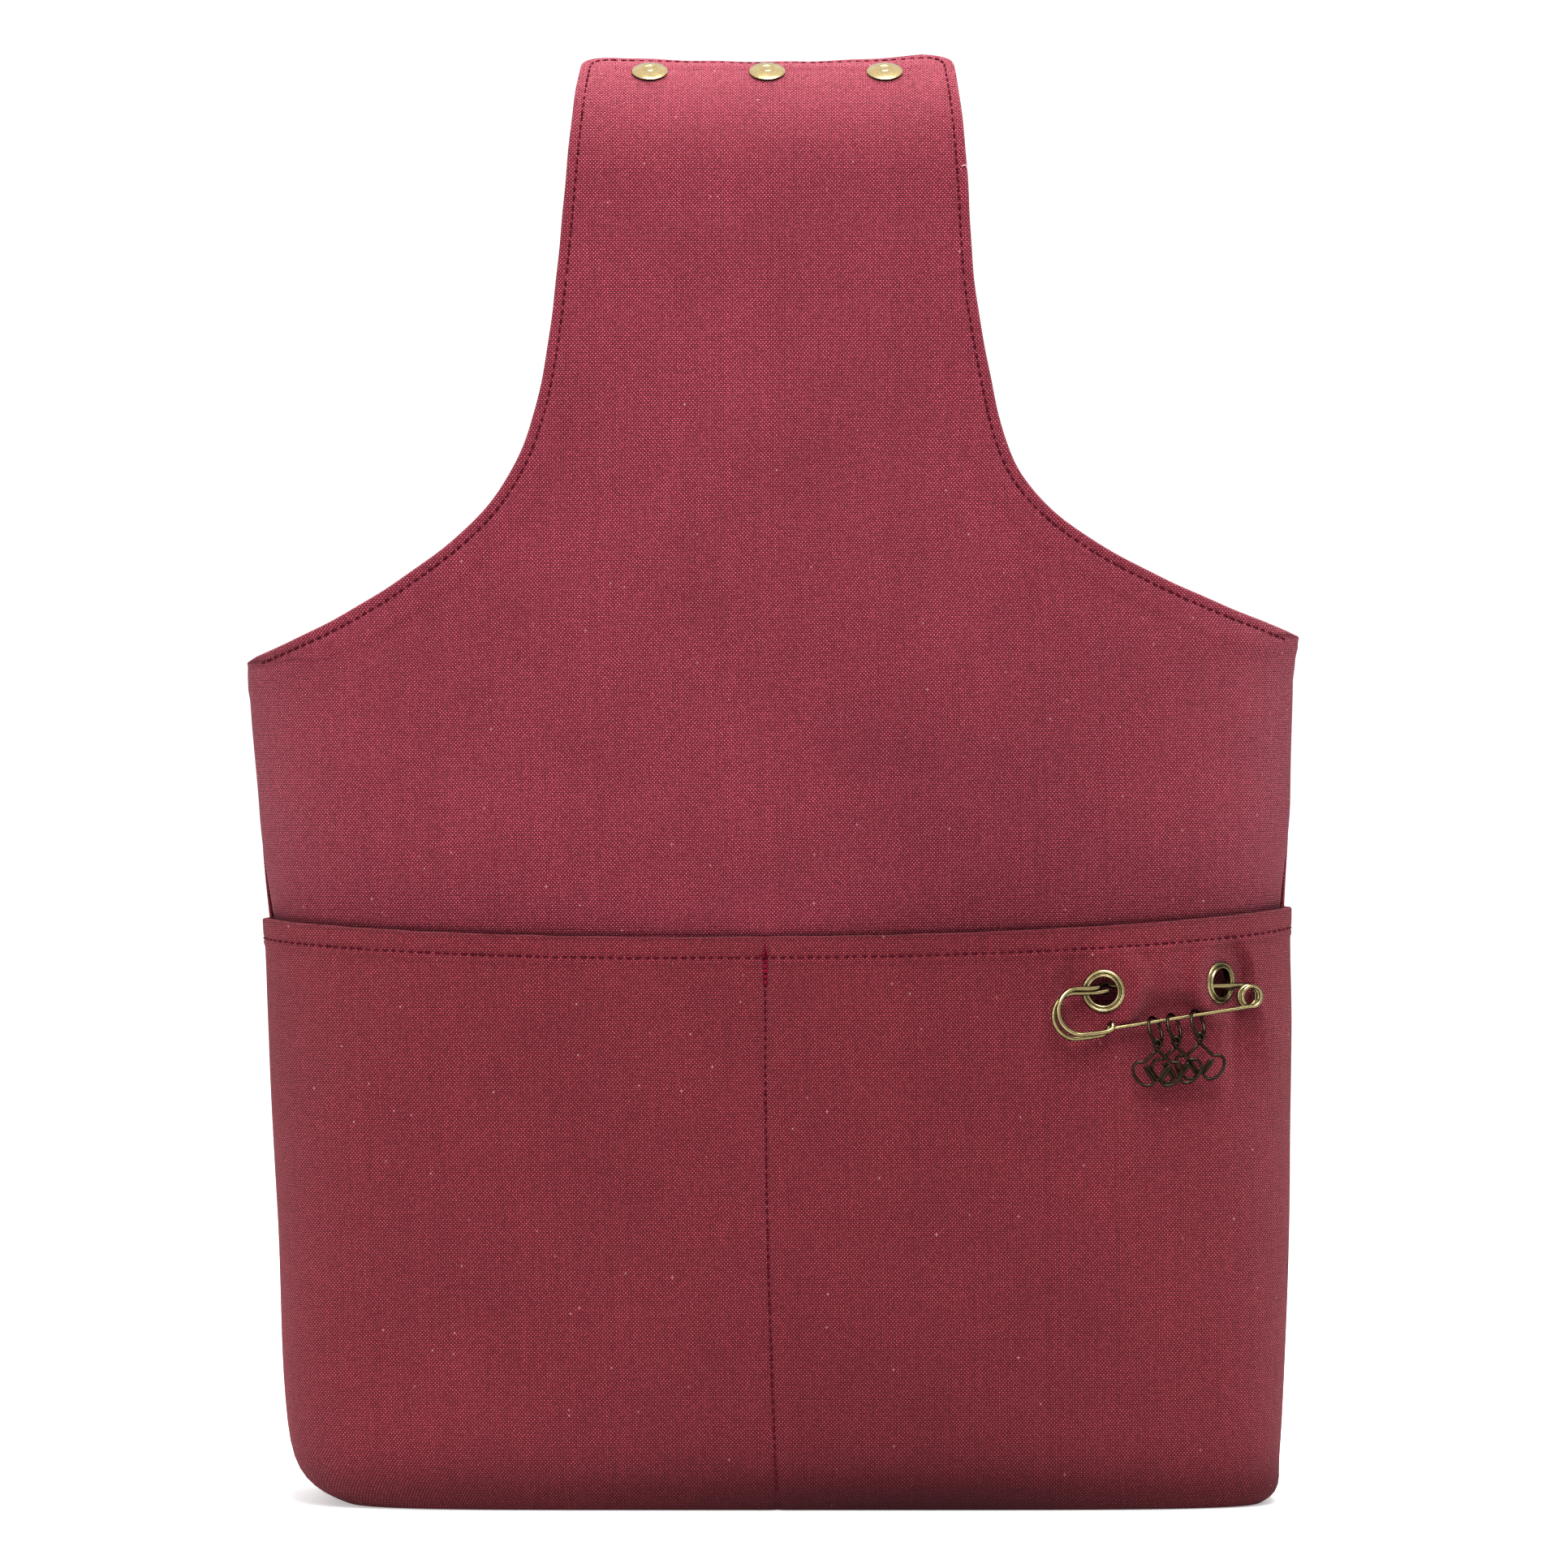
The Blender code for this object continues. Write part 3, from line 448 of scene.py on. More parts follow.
def cloth_shell(name, outer, inner, cloth, seam_and_painted_shadow, material, keep=None, flip=False, open_rows=()):
    """Cloth with thickness: two sheets and a rounded rim along every edge but the open rows."""
    rows, columns = outer.shape[:2]
    quads = grid_faces(rows, columns)
    if keep is not None:
        quads = [face for face, kept in zip(quads, keep.ravel()) if kept]
    if flip:
        quads = [face[::-1] for face in quads]
    edges = [(a, b) for a, b in boundary_edges(quads)
             if not (a // columns == b // columns and a // columns in open_rows)]
    top = outer.reshape(-1, 3)
    low = inner.reshape(-1, 3)
    flat = cloth.reshape(-1, 2)
    count = len(top)
    middle = (top + low) / 2
    half = (top - low) / 2
    away = np.zeros_like(top)
    drift = np.zeros_like(flat)
    for a, b in edges:
        direction = np.cross(top[b] - top[a], half[a] + half[b])
        step = flat[b] - flat[a]
        for sums, sideways in ((away, direction), (drift, np.array((step[1], -step[0])))):
            sideways = sideways / max(np.linalg.norm(sideways), 1e-12)
            sums[a] += sideways
            sums[b] += sideways
    radius = np.linalg.norm(half, axis=1, keepdims=True)
    away = directions(away) * radius
    drift = directions(drift) * (-radius if flip else radius)
    used = sorted({v for edge in edges for v in edge})
    number = {v: k for k, v in enumerate(used)}
    angles = [math.pi * k / RIM_STEPS for k in range(1, RIM_STEPS)]
    rims = [middle[used] + half[used] * math.cos(a) + away[used] * math.sin(a) for a in angles]
    faces = quads + [[v + count for v in reversed(face)] for face in quads]
    for edge in edges:
        chains = [[v] + [2 * count + k * len(used) + number[v] for k in range(RIM_STEPS - 1)] + [v + count]
                  for v in edge]
        for k in range(RIM_STEPS):
            faces.append([chains[1][k], chains[0][k], chains[0][k + 1], chains[1][k + 1]])
    obj = new_object(name, np.concatenate([top, low] + rims), faces, material)
    places = np.concatenate([flat, flat] + [flat[used] + drift[used] * a for a in angles])
    shade = seam_and_painted_shadow.reshape(-1)
    store(obj, places, np.concatenate([shade, shade] + [shade[used]] * len(angles)))
    return obj


def store(obj, places, seam_and_painted_shadow):
    """Cloth place, painted shadow at the pocket's hem and painted shade near the floor and in soft patches,
    per vertex, for the materials.
    """
    x, _, z = np.array([vertex.co for vertex in obj.data.vertices]).T
    # Painted shade: darker near the floor, in the lower middle and in a patch right of the middle above the
    # pocket
    painted_shade = 0.55 * bell(z, 0.0, 0.0125) + (0.28 * bell(z, 0.0, 0.050) + 0.08) * bell(x, 0.042, 0.085)
    painted_shade = painted_shade + 0.14 * bell(x, 0.062, 0.045) * bell(z, 0.195, 0.045)
    cloth = np.column_stack((places, np.zeros(len(places))))
    for name, kind, key, values in (("painted_shade", "FLOAT", "value", painted_shade), ("seam_and_painted_shadow", "FLOAT", "value", seam_and_painted_shadow),
                                    ("cloth", "FLOAT_VECTOR", "vector", cloth)):
        attribute = obj.data.attributes.new(name, kind, "POINT")
        attribute.data.foreach_set(key, values.astype(np.float32).ravel())


def edge_columns(inner_step=0.026):
    """Columns packed near the turned edges, where the stitching dents the cloth."""
    near = np.array([0.0, 0.4, 0.9, 1.35, 1.8, 2.2, 2.6, 3.1, 3.9, 5.0, 6.4, 7.6, 8.4, 9.2, 10.2]) / 52.0
    first = near[-1]
    count = int(round((1.0 - first) / inner_step))
    half = np.concatenate((near, first + (1.0 - first) * np.arange(1, count + 1) / count))
    left = -1.0 + half
    return np.concatenate((left, -left[:-1][::-1]))


def end_rows(end):
    """Heights that close in on the end of a panel."""
    back = [12.0, 10.4, 9.2, 8.4, 7.6, 6.6, 5.6, 4.6, 3.8, 3.1, 2.6, 2.2, 1.8, 1.35, 0.9, 0.5, 0.2, 0.0]
    return end - np.array(back) / 1000.0


LOW_ROWS = np.array([0.0, 0.0008, 0.0018, 0.0032, 0.005, 0.0072, 0.010, 0.0135, 0.018, 0.0235, 0.030])
BODY_ROWS = np.concatenate((LOW_ROWS, np.linspace(0.0340, 0.1560, 31), np.arange(0.1580, 0.1770, 0.0011),
                            np.linspace(0.1790, 0.2380, 18)))
SHOULDER_ROWS = np.linspace(0.2405, 0.3080, 46)


def edge_tree(side):
    """Search tree over the panel's free edge in cloth places, with the run along the edge."""
    end = FRONT_LENGTH if side == "front" else BACK_LENGTH
    corner = end - 0.009
    heights = np.concatenate((np.linspace(SHOULDER_Z, corner, 900), np.linspace(corner, end, 200)[1:]))
    _, right = wall(side, np.ones_like(heights), heights)
    across = np.linspace(1.0, -1.0, 220)[1:-1]
    _, top = wall(side, across, np.full_like(across, end))
    left = right[::-1] * np.array((-1.0, 1.0))
    path = np.concatenate((right, top, left))
    tree = KDTree(len(path))
    for k, (u, v) in enumerate(path):
        tree.insert((u, v, 0.0), k)
    tree.balance()
    return tree, path, run_along(path)


EDGES = {side: edge_tree(side) for side in ("front", "back")}


def edge_distance(side, cloth):
    """Distance of cloth places from the free edge, and the run along it."""
    tree, _, run = EDGES[side]
    flat = cloth.reshape(-1, 2)
    distance = np.empty(len(flat))
    along = np.empty(len(flat))
    for k, (u, v) in enumerate(flat):
        _, index, reach = tree.find((u, v, 0.0))
        distance[k] = reach
        along[k] = run[index]
    return distance.reshape(cloth.shape[:-1]), along.reshape(cloth.shape[:-1])


def turned_edge(distance, along, fold, stitch):
    """Relief of a turned and topstitched edge: a thicker band, a dent along the stitches."""
    band = 0.00038 * (1.0 - smooth((distance - fold) / 0.0014))
    dent = bell(distance, stitch, 0.00075)
    hole = 0.5 + 0.5 * np.cos(2.0 * math.pi * along / STITCH_PITCH)
    soft = 0.00010 * np.sin(2.0 * math.pi * along / 0.019) * bell(distance, 0.0, 0.006)
    return band - dent * (0.00022 + 0.00016 * hole) + soft


def seam_dip(t, h, side):
    """The front rolls in where it is sewn to the back, up to the shoulder tips."""
    reach = (1.0 - np.abs(t)) * arc_length(side, np.minimum(h, SHOULDER_Z))
    depth = 0.0013 if side == "front" else 0.0002
    return -depth * (1.0 - smooth(reach / 0.0034)) ** 1.5 * (1.0 - smooth((h - SHOULDER_Z + 0.004) / 0.004))


def side_inset(t):
    """The pocket is sewn in a little behind the back panel's edge, more so on the left."""
    return np.where(t < 0.0, 0.0023, 0.0012) * smooth((np.abs(t) - 0.92) / 0.08)


def behind_hem(t, h):
    """The front falls back where it goes down behind the pocket's hem."""
    below = pocket_height(t, HEM_Z) - h
    return -0.0014 * bell(below, 0.0012, 0.0016) * (1.0 - np.abs(t) ** 8)


def strap_curl(side, t, h):
    """The strap's free corners stand up a little between and beside the snaps."""
    if side == "back":
        return 0.0
    corners = (0.0006 + 0.0004 * t) * np.abs(t) ** 2 * smooth((h - strap_length(50.0)) / 0.014)
    return corners - 0.0010 * (1.0 - t ** 2) * smooth((h - strap_length(60.0)) / 0.010)


def bottom_rows(side, columns, floor, lift):
    """Rows of the bottom from the seam under the bag out to the foot of the wall."""
    shares = np.array([0.0, 0.012, 0.03, 0.06, 0.12, 0.25, 0.45, 0.65, 0.82, 0.93])
    _, y = section_at(side, np.full_like(columns, 0.0), columns)
    foot, _ = wall(side, columns, 0.0, lift)
    points = []
    cloth = []
    for share in shares:
        depth = share * np.abs(foot[:, 1] - SHIFT.y)
        reach = np.clip(depth / 0.0030, 0.0, 1.0)
        row = foot.copy()
        sign = -1.0 if side == "front" else 1.0
        row[:, 1] = SHIFT.y + sign * np.maximum(depth, GAP / 2)
        row[:, 2] = floor + BOTTOM_SEAM_RISE * (1.0 - smooth(reach)) ** 2
        points.append(row)
        cloth.append(np.stack((columns * arc_length(side, 0.0), -(y - share * y)), axis=-1))
    return np.array(points), np.array(cloth)


def panel(name, side, columns, rows, base, thickness, material, floor=None, relief=True, inset=0.0,
          open_rows=()):
    """One layer of a panel; with a floor height it also has its share of the bottom."""
    t, h = np.meshgrid(columns, rows)
    if inset:
        t = t * (1.0 - inset / edge_half(side, np.maximum(h, SHOULDER_Z)))
    lift = base(h) + np.zeros_like(t)
    if side == "front" and relief:
        lift = lift - side_inset(t) * (1.0 - smooth((h - 0.150) / 0.030))
    _, cloth = wall(side, t, h, lift)
    seam_and_painted_shadow = np.zeros_like(t)
    if relief:
        distance, along = edge_distance(side, cloth)
        lift = lift + turned_edge(distance, along, 0.0088, EDGE_STITCH) + seam_dip(t, h, side)
    if side == "front" and relief:
        lift = lift + behind_hem(t, h)
        # Painted shadow on the front just above the pocket's hem
        seam_and_painted_shadow = 0.42 * bell(np.maximum(0.0, h - pocket_height(t, HEM_Z)), 0.0, 0.0012) * (h < 0.200)
    lift = lift + strap_curl(side, t, h)
    outer, _ = wall(side, t, h, lift)
    inner, _ = wall(side, t, h, np.minimum(lift, base(h) + strap_curl(side, t, h)) - thickness)
    tables = (outer, inner, cloth, seam_and_painted_shadow)
    if floor is not None:
        tables = add_bottom(side, columns, tables, floor, thickness, float(base(np.array(0.0))))
    open_rows = [row % len(tables[0]) for row in open_rows]
    return cloth_shell(name, *tables, material, flip=side == "back", open_rows=open_rows)


def add_bottom(side, columns, tables, floor, thickness, lift):
    """Puts the bottom's rows before the wall's, and lifts the wall's foot onto the floor height."""
    for sheet, height in zip(tables, (floor, floor + thickness)):
        sheet[..., 2] = np.maximum(sheet[..., 2], height)
    under, places = bottom_rows(side, columns, floor, lift)
    above, _ = bottom_rows(side, columns, floor + thickness, lift - thickness)
    first = (under, above, places, np.zeros(places.shape[:2]))
    return [np.concatenate(pair) for pair in zip(first, tables)]


# ---------------------------------------------------------------- materials

def tree_of(name):
    """A new material with its node tree and its shader."""
    material = bpy.data.materials.new(name)
    material.use_nodes = True
    return material, material.node_tree, material.node_tree.nodes["Principled BSDF"]


def feed(tree, node, inputs):
    """Links sockets into a node's inputs, or sets them to values; a colour of three parts gets its alpha."""
    for key, value in inputs.items():
        if hasattr(value, "is_linked"):
            tree.links.new(value, node.inputs[key])
        elif isinstance(value, (tuple, list)):
            node.inputs[key].default_value = (*value, 1.0)
        else:
            node.inputs[key].default_value = value


def add(tree, kind, inputs=None, **settings):
    node = tree.nodes.new(kind)
    for key, value in settings.items():
        setattr(node, key, value)
    feed(tree, node, inputs or {})
    return node


def maths(tree, operation, first, second=0.0):
    return add(tree, "ShaderNodeMath", {0: first, 1: second}, operation=operation).outputs[0]


def mixed(tree, factor, first, second):
    """A colour between two; the factor and both colours are sockets or values."""
    return add(tree, "ShaderNodeMix", {0: factor, 6: first, 7: second}, data_type="RGBA").outputs[2]


def coordinate(tree, kind):
    return add(tree, "ShaderNodeTexCoord").outputs[kind]


def noise(tree, scale, vector=None, detail=2.0, roughness=0.5):
    vector = vector or coordinate(tree, "Object")
    inputs = {"Vector": vector, "Scale": scale, "Detail": detail, "Roughness": roughness}
    return add(tree, "ShaderNodeTexNoise", inputs).outputs["Fac"]


def ranged(tree, value, low, high, to_low=0.0, to_high=1.0):
    inputs = {"Value": value, "From Min": low, "From Max": high, "To Min": to_low, "To Max": to_high}
    return add(tree, "ShaderNodeMapRange", inputs).outputs["Result"]


def parts_of(tree, vector):
    return add(tree, "ShaderNodeSeparateXYZ", {0: vector}).outputs


def stored(tree, name):
    """What the mesh stores under the name."""
    return add(tree, "ShaderNodeAttribute", attribute_name=name).outputs


def bump(tree, shader, height, strength, distance):
    relief = add(tree, "ShaderNodeBump", {"Strength": strength, "Distance": distance, "Height": height})
    feed(tree, shader, {"Normal": relief.outputs[0]})


def woven(name, deep, body, fleck, yarn_width, depth=0.00035, sheen=0.25, slubs=0.5):
    """Plain weave from the cloth place: yarns that differ, flecks where a pick shows, a painted shadow at the
    pocket's hem and painted shade near the floor.
    """
    material, tree, shader = tree_of(name)
    cloth = stored(tree, "cloth")["Vector"]
    painted_shade = stored(tree, "painted_shade")["Fac"]
    place = parts_of(tree, cloth)
    waver = ranged(tree, noise(tree, 160.0, cloth), 0.0, 1.0, -0.35, 0.35)
    across = maths(tree, "ADD", maths(tree, "DIVIDE", place[0], yarn_width[0]), waver)
    up = maths(tree, "ADD", maths(tree, "DIVIDE", place[1], yarn_width[1]), waver)
    waves = [maths(tree, "SINE", maths(tree, "MULTIPLY", run, math.pi)) for run in (across, up)]
    over = maths(tree, "MULTIPLY", *waves)
    crossing = maths(tree, "ABSOLUTE", over)
    column = maths(tree, "FLOOR", across)
    cell = add(tree, "ShaderNodeCombineXYZ", {0: column, 1: maths(tree, "FLOOR", up)}).outputs[0]
    chance = add(tree, "ShaderNodeTexWhiteNoise", {"Vector": cell}, noise_dimensions="2D").outputs["Value"]
    yarn = add(tree, "ShaderNodeTexWhiteNoise", {"W": column}, noise_dimensions="1D").outputs["Value"]
    dot = ranged(tree, over, 0.05, 0.80)
    color = mixed(tree, ranged(tree, crossing, 0.02, 0.60), deep, body)
    lit = maths(tree, "MULTIPLY", dot, ranged(tree, chance, 0.0, 1.0, 0.45, 1.0))
    color = mixed(tree, lit, color, fleck)
    color = mixed(tree, ranged(tree, yarn, 0.0, 1.0, 0.0, 0.13), color, deep)
    color = mixed(tree, ranged(tree, chance, 0.9995, 0.9999, 0.0, slubs), color, (0.80, 0.42, 0.45))
    cloud = ranged(tree, noise(tree, 26.0, cloth, 5.0, 0.6), 0.3, 0.7, 0.0, 0.20)
    color = mixed(tree, cloud, color, deep)
    # Painted shadow along and above the pocket's hem
    color = mixed(tree, stored(tree, "seam_and_painted_shadow")["Fac"], color, deep)
    # Painted shade near the floor and in soft patches, where the sheen fades too
    color = mixed(tree, painted_shade, color, [0.45 * part for part in deep])
    feed(tree, shader, {
        "Base Color": color,
        "Roughness": 0.92,
        "Specular IOR Level": 0.12,
        "Sheen Weight": ranged(tree, painted_shade, 0.0, 0.6, sheen, 0.15 * sheen),
        "Sheen Roughness": 0.45,
        "Sheen Tint": [0.30 + 0.70 * part for part in fleck],
    })
    height = maths(tree, "ADD", maths(tree, "POWER", crossing, 0.6), maths(tree, "MULTIPLY", dot, 0.6))
    fuzz = maths(tree, "MULTIPLY", noise(tree, 2600.0, cloth), 0.7)
    bump(tree, shader, maths(tree, "ADD", height, fuzz), 0.75, depth)
    return material


def twisted(name, dark, light):
    """Sewing thread: fine slanting twist."""
    material, tree, shader = tree_of(name)
    inputs = {"Vector": coordinate(tree, "Object"), "Scale": 900.0, "Distortion": 1.0}
    wave = add(tree, "ShaderNodeTexWave", inputs).outputs["Fac"]
    feed(tree, shader, {
        "Base Color": mixed(tree, wave, dark, light),
        "Roughness": 0.95,
        "Specular IOR Level": 0.05,
    })
    bump(tree, shader, wave, 0.5, 0.0001)
    return material


def antique(name, bright, dull, dark, roughness, spots, low, high):
    """Plated metal, dark in blotches and hollows, with painted shade on its sides, back and underside that
    leaves the side facing out bright as a painted highlight.
    """
    material, tree, shader = tree_of(name)
    blotch = ranged(tree, noise(tree, 420.0, None, 5.0, 0.65), 0.35, 0.68)
    color = mixed(tree, ranged(tree, blotch, 0.0, 1.0, 0.0, spots), bright, dull)
    hollow = add(tree, "ShaderNodeNewGeometry").outputs["Pointiness"]
    # Painted shade from the object-space normal: the sides and back darken between low and high, and so do
    # undersides
    way = parts_of(tree, coordinate(tree, "Normal"))
    for factor in (ranged(tree, noise(tree, 2400.0, None, 3.0), 0.4, 0.75, 0.0, 0.6 * spots),
                   ranged(tree, hollow, 0.42, 0.50, 0.85, 0.0),
                   ranged(tree, way[1], low, high, 0.0, 0.94),
                   ranged(tree, way[2], 0.0, -0.55, 0.0, 0.85)):
        color = mixed(tree, factor, color, dark)
    feed(tree, shader, {
        "Base Color": color,
        "Metallic": 1.0,
        "Roughness": ranged(tree, blotch, 0.0, 1.0, roughness, roughness + 0.2),
    })
    bump(tree, shader, noise(tree, 1500.0, None, 3.0), 0.25, 0.00008)
    return material


WEAVE = (0.000495, 0.000555)
CANVAS_LOOK = woven("canvas", (0.040, 0.0020, 0.0050), (0.226, 0.0162, 0.0318), (0.880, 0.148, 0.232), WEAVE,
                    sheen=0.35)
# The pocket is the same canvas as the front, painted darker as painted shade for its face leaning away from
# the light
SHADED_POCKET_LOOK = woven("pocket_canvas", (0.034, 0.0018, 0.0040), (0.184, 0.0122, 0.0214), (0.700, 0.104, 0.150),
                    WEAVE, sheen=0.26)
LINING_LOOK = woven("lining", (0.030, 0.006, 0.010), (0.075, 0.016, 0.024), (0.13, 0.035, 0.048),
                    (0.00045, 0.00045), depth=0.00012, sheen=0.15, slubs=0.0)
THREAD_LOOK = twisted("thread", (0.020, 0.0015, 0.004), (0.105, 0.007, 0.018))
CRIMSON_THREAD = twisted("crimson_thread", (0.075, 0.002, 0.010), (0.26, 0.008, 0.035))
PALE_THREAD = twisted("pale_thread", (0.55, 0.22, 0.24), (0.80, 0.45, 0.45))
# low and high set where the painted shade on each metal's sides begins and is full
BRASS_LOOK = antique("antique_brass", (0.80, 0.65, 0.32), (0.40, 0.29, 0.11), (0.026, 0.018, 0.006),
                     roughness=0.18, spots=0.7, low=-0.96, high=-0.60)
SNAP_LOOK = antique("snap_brass", (0.82, 0.64, 0.32), (0.60, 0.42, 0.16), (0.035, 0.022, 0.010),
                    roughness=0.16, spots=0.5, low=-0.50, high=-0.10)
BRONZE_LOOK = antique("dark_bronze", (0.074, 0.056, 0.036), (0.014, 0.011, 0.007), (0.002, 0.0015, 0.001),
                      roughness=0.22, spots=0.8, low=-0.96, high=-0.58)


# ---------------------------------------------------------------- cloth pieces


def bend_at_foot(piece):
    """Cloth that crosses the fold line at the foot of the front neck: its transform is baked into its mesh,
    nothing bends it.
    """
    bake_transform(piece)


def bend_at_knee(piece):
    """Cloth that crosses the line where the strap's end peels off: its transform is baked into its mesh,
    nothing bends it.
    """
    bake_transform(piece)


LINED = (LINING, LINING_LOOK)
PLAIN = {"relief": False, "inset": LINING_INSET}


def make_front():
    columns = edge_columns()
    few = np.linspace(-1.0, 1.0, 61)
    low = np.concatenate((BODY_ROWS, SHOULDER_ROWS, np.linspace(0.3100, SPLIT_H, 17)))
    high = np.concatenate((np.linspace(SPLIT_H, FRONT_LENGTH - 0.0136, 32), end_rows(FRONT_LENGTH)))

    def behind(h):
        return lining_lift(h) + 1.3 * front_lift(h)

    body = panel("front_canvas", "front", columns, low, front_lift, CANVAS, CANVAS_LOOK, CANVAS + 1.3 * GAP,
                 open_rows=(-1,))
    strap = panel("front_strap_canvas", "front", columns, high, front_lift, CANVAS, CANVAS_LOOK,
                  open_rows=(0,))
    lining = panel("front_lining_cloth", "front", few, low[::2], behind, *LINED, 2.0 * CANVAS + 3.5 * GAP,
                   open_rows=(-1,), **PLAIN)
    strap_lining = panel("strap_lining_cloth", "front", few, high, lining_lift, *LINED, open_rows=(0,),
                         **PLAIN)
    for piece, bend, name, nodes in ((body, bend_at_foot, "canvas", ("front_panel", "front_neck")),
                                     (strap, bend_at_knee, "canvas", ("strap_end",)),
                                     (lining, bend_at_foot, "lining", ("front_lining", "front_neck_lining")),
                                     (strap_lining, bend_at_knee, "lining", ("strap_end_lining",))):
        bend(piece)
        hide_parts(*nodes)


def make_back():
    rows = np.concatenate((BODY_ROWS, SHOULDER_ROWS, np.linspace(0.3100, BACK_LENGTH - 0.0136, 70),
                           end_rows(BACK_LENGTH)))
    canvas = panel("back_canvas", "back", edge_columns(), rows, lambda h: 0.0 * h, CANVAS, CANVAS_LOOK, 0.0)
    lining = panel("back_lining_cloth", "back", np.linspace(-1.0, 1.0, 61), rows[::2], lining_lift, *LINED,
                   CANVAS + GAP, **PLAIN)
    fixed(canvas, "bag", "back_panel")
    fixed(lining, "bag", "back_lining")


def fixed(piece, body, node):
    """The piece rides the body and stands in for the CAD's node."""
    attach(piece, body)
    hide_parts(node)


def make_pocket():
    """The pocket, with a finer grid round the eyelets and their holes left open."""
    coarse = np.linspace(-1.0, 1.0, 121)
    fine = np.concatenate((np.arange(0.44, 0.86, 0.0055), np.arange(-0.05, 0.05, 0.006)))
    # Columns packed towards the side seams
    seam_and_painted_shadow = np.array([0.4, 0.9, 1.6, 2.4, 3.4]) / 170.0
    columns = np.unique(np.round(np.concatenate((coarse, fine, 1.0 - seam_and_painted_shadow, seam_and_painted_shadow - 1.0)), 4))
    columns = columns[np.concatenate(([True], np.diff(columns) > 0.0018))]
    columns[-1] = 1.0
    near = np.array([11.0, 9.8, 8.6, 7.7, 7.0, 6.4, 5.8, 5.3, 4.8, 4.2, 3.4, 2.5, 1.6, 0.9, 0.4, 0.0])
    rows = np.concatenate((LOW_ROWS, np.linspace(0.034, 0.130, 28), np.arange(0.1315, 0.1525, 0.00095),
                           HEM_Z - near / 1000.0))
    t, row = np.meshgrid(columns, rows)
    h = pocket_height(t, row)
    below = pocket_height(t, HEM_Z) - h
    _, cloth = pocket_sheet(t, h)
    relief = turned_edge(below, cloth[..., 0], 0.0066, HEM_STITCH)
    relief = relief - 0.0008 * bell(0.17 * (t - divider_column(h)), 0.0, 0.0012)
    relief = relief + seam_dip(t, h, "front") - side_inset(t)
    outer, _ = pocket_sheet(t, h, relief)
    inner, _ = pocket_sheet(t, h, np.minimum(relief - CANVAS, -CANVAS))
    # Painted shadow along the hem's top edge
    seam_and_painted_shadow = 0.30 * bell(below, 0.0, 0.0006)
    clear = outside_eyelets(outer)
    tables = add_bottom("front", columns, (outer, inner, cloth, seam_and_painted_shadow), 0.0, CANVAS, 0.0)
    keep = np.ones((len(tables[0]) - 1, len(columns) - 1), bool)
    keep[-len(clear):] = clear
    pocket = cloth_shell("pocket_canvas", *tables, SHADED_POCKET_LOOK, keep)
    fixed(pocket, "bag", "pocket_panel")


def outside_eyelets(points):
    """Mask of the grid's faces that keep clear of the eyelets' holes."""
    near = np.full(points.shape[:2], 1.0)
    for place in eyelet_places():
        near = np.minimum(near, np.linalg.norm(points - np.array(place.translation), axis=-1))
    least = np.minimum(np.minimum(near[:-1, :-1], near[1:, :-1]), np.minimum(near[:-1, 1:], near[1:, 1:]))
    return least > EYELET_CLEAR


# ---------------------------------------------------------------- stitches

STITCH_SIDES = 7
STITCH_SHARES = np.array([0.0, 0.08, 0.25, 0.5, 0.75, 0.92, 1.0])
STITCH_HEIGHTS = np.array([-0.30, -0.02, 0.14, 0.18, 0.14, -0.02, -0.30]) / 1000.0
STITCH_RADII = np.array([0.45, 0.85, 1.0, 1.05, 1.0, 0.85, 0.45])


def stitches(name, points, normals, material=None, pitch=STITCH_PITCH, length=STITCH_LENGTH, width=0.00027):
    """Single stitches along a path, each a short tube whose ends dip into the cloth."""
    run = run_along(points)
    starts = np.arange(pitch * 0.3, run[-1] - length * 1.2, pitch)
    spread = np.random.default_rng(len(starts))
    starts = starts + spread.uniform(-0.06, 0.06, len(starts)) * pitch
    length = length * spread.uniform(0.88, 1.10, len(starts))
    wanted = ((starts, points), (starts + length, points), (starts + length / 2, normals))
    first, last, up = [np.column_stack([np.interp(places, run, table[:, k]) for k in range(3)])
                       for places, table in wanted]
    along = directions(last - first)
    across = directions(np.cross(along, up))
    up = np.cross(across, along)
    vertices = []
    for share, height, radius in zip(STITCH_SHARES, STITCH_HEIGHTS, width * STITCH_RADII):
        centre = first + (last - first) * share + up * height
        for k in range(STITCH_SIDES):
            angle = 2.0 * math.pi * k / STITCH_SIDES
            vertices.append(centre + radius * (math.cos(angle) * across + math.sin(angle) * up))
    step = len(vertices)
    one = rod_faces(len(STITCH_SHARES), STITCH_SIDES)
    faces = [[n * step + v for v in face] for n in range(len(first)) for face in one]
    vertices = np.array(vertices).transpose(1, 0, 2).reshape(-1, 3)
    obj = new_object(name, vertices, faces, material or THREAD_LOOK)
    return obj


def edge_path(side, inside):
    """Cloth places that follow the free edge at a distance inside it."""
    _, path, _ = EDGES[side]
    tangent = directions(np.gradient(path, axis=0))
    inward = np.stack((-tangent[:, 1], tangent[:, 0]), axis=-1)
    return path + inward * inside


def columns_of(side, cloth):
    """Column t of cloth places above the shoulders."""
    _, edge = wall(side, np.ones(len(cloth)), cloth[:, 1])
    return np.clip(cloth[:, 0] / edge[:, 0], -1.0, 1.0)


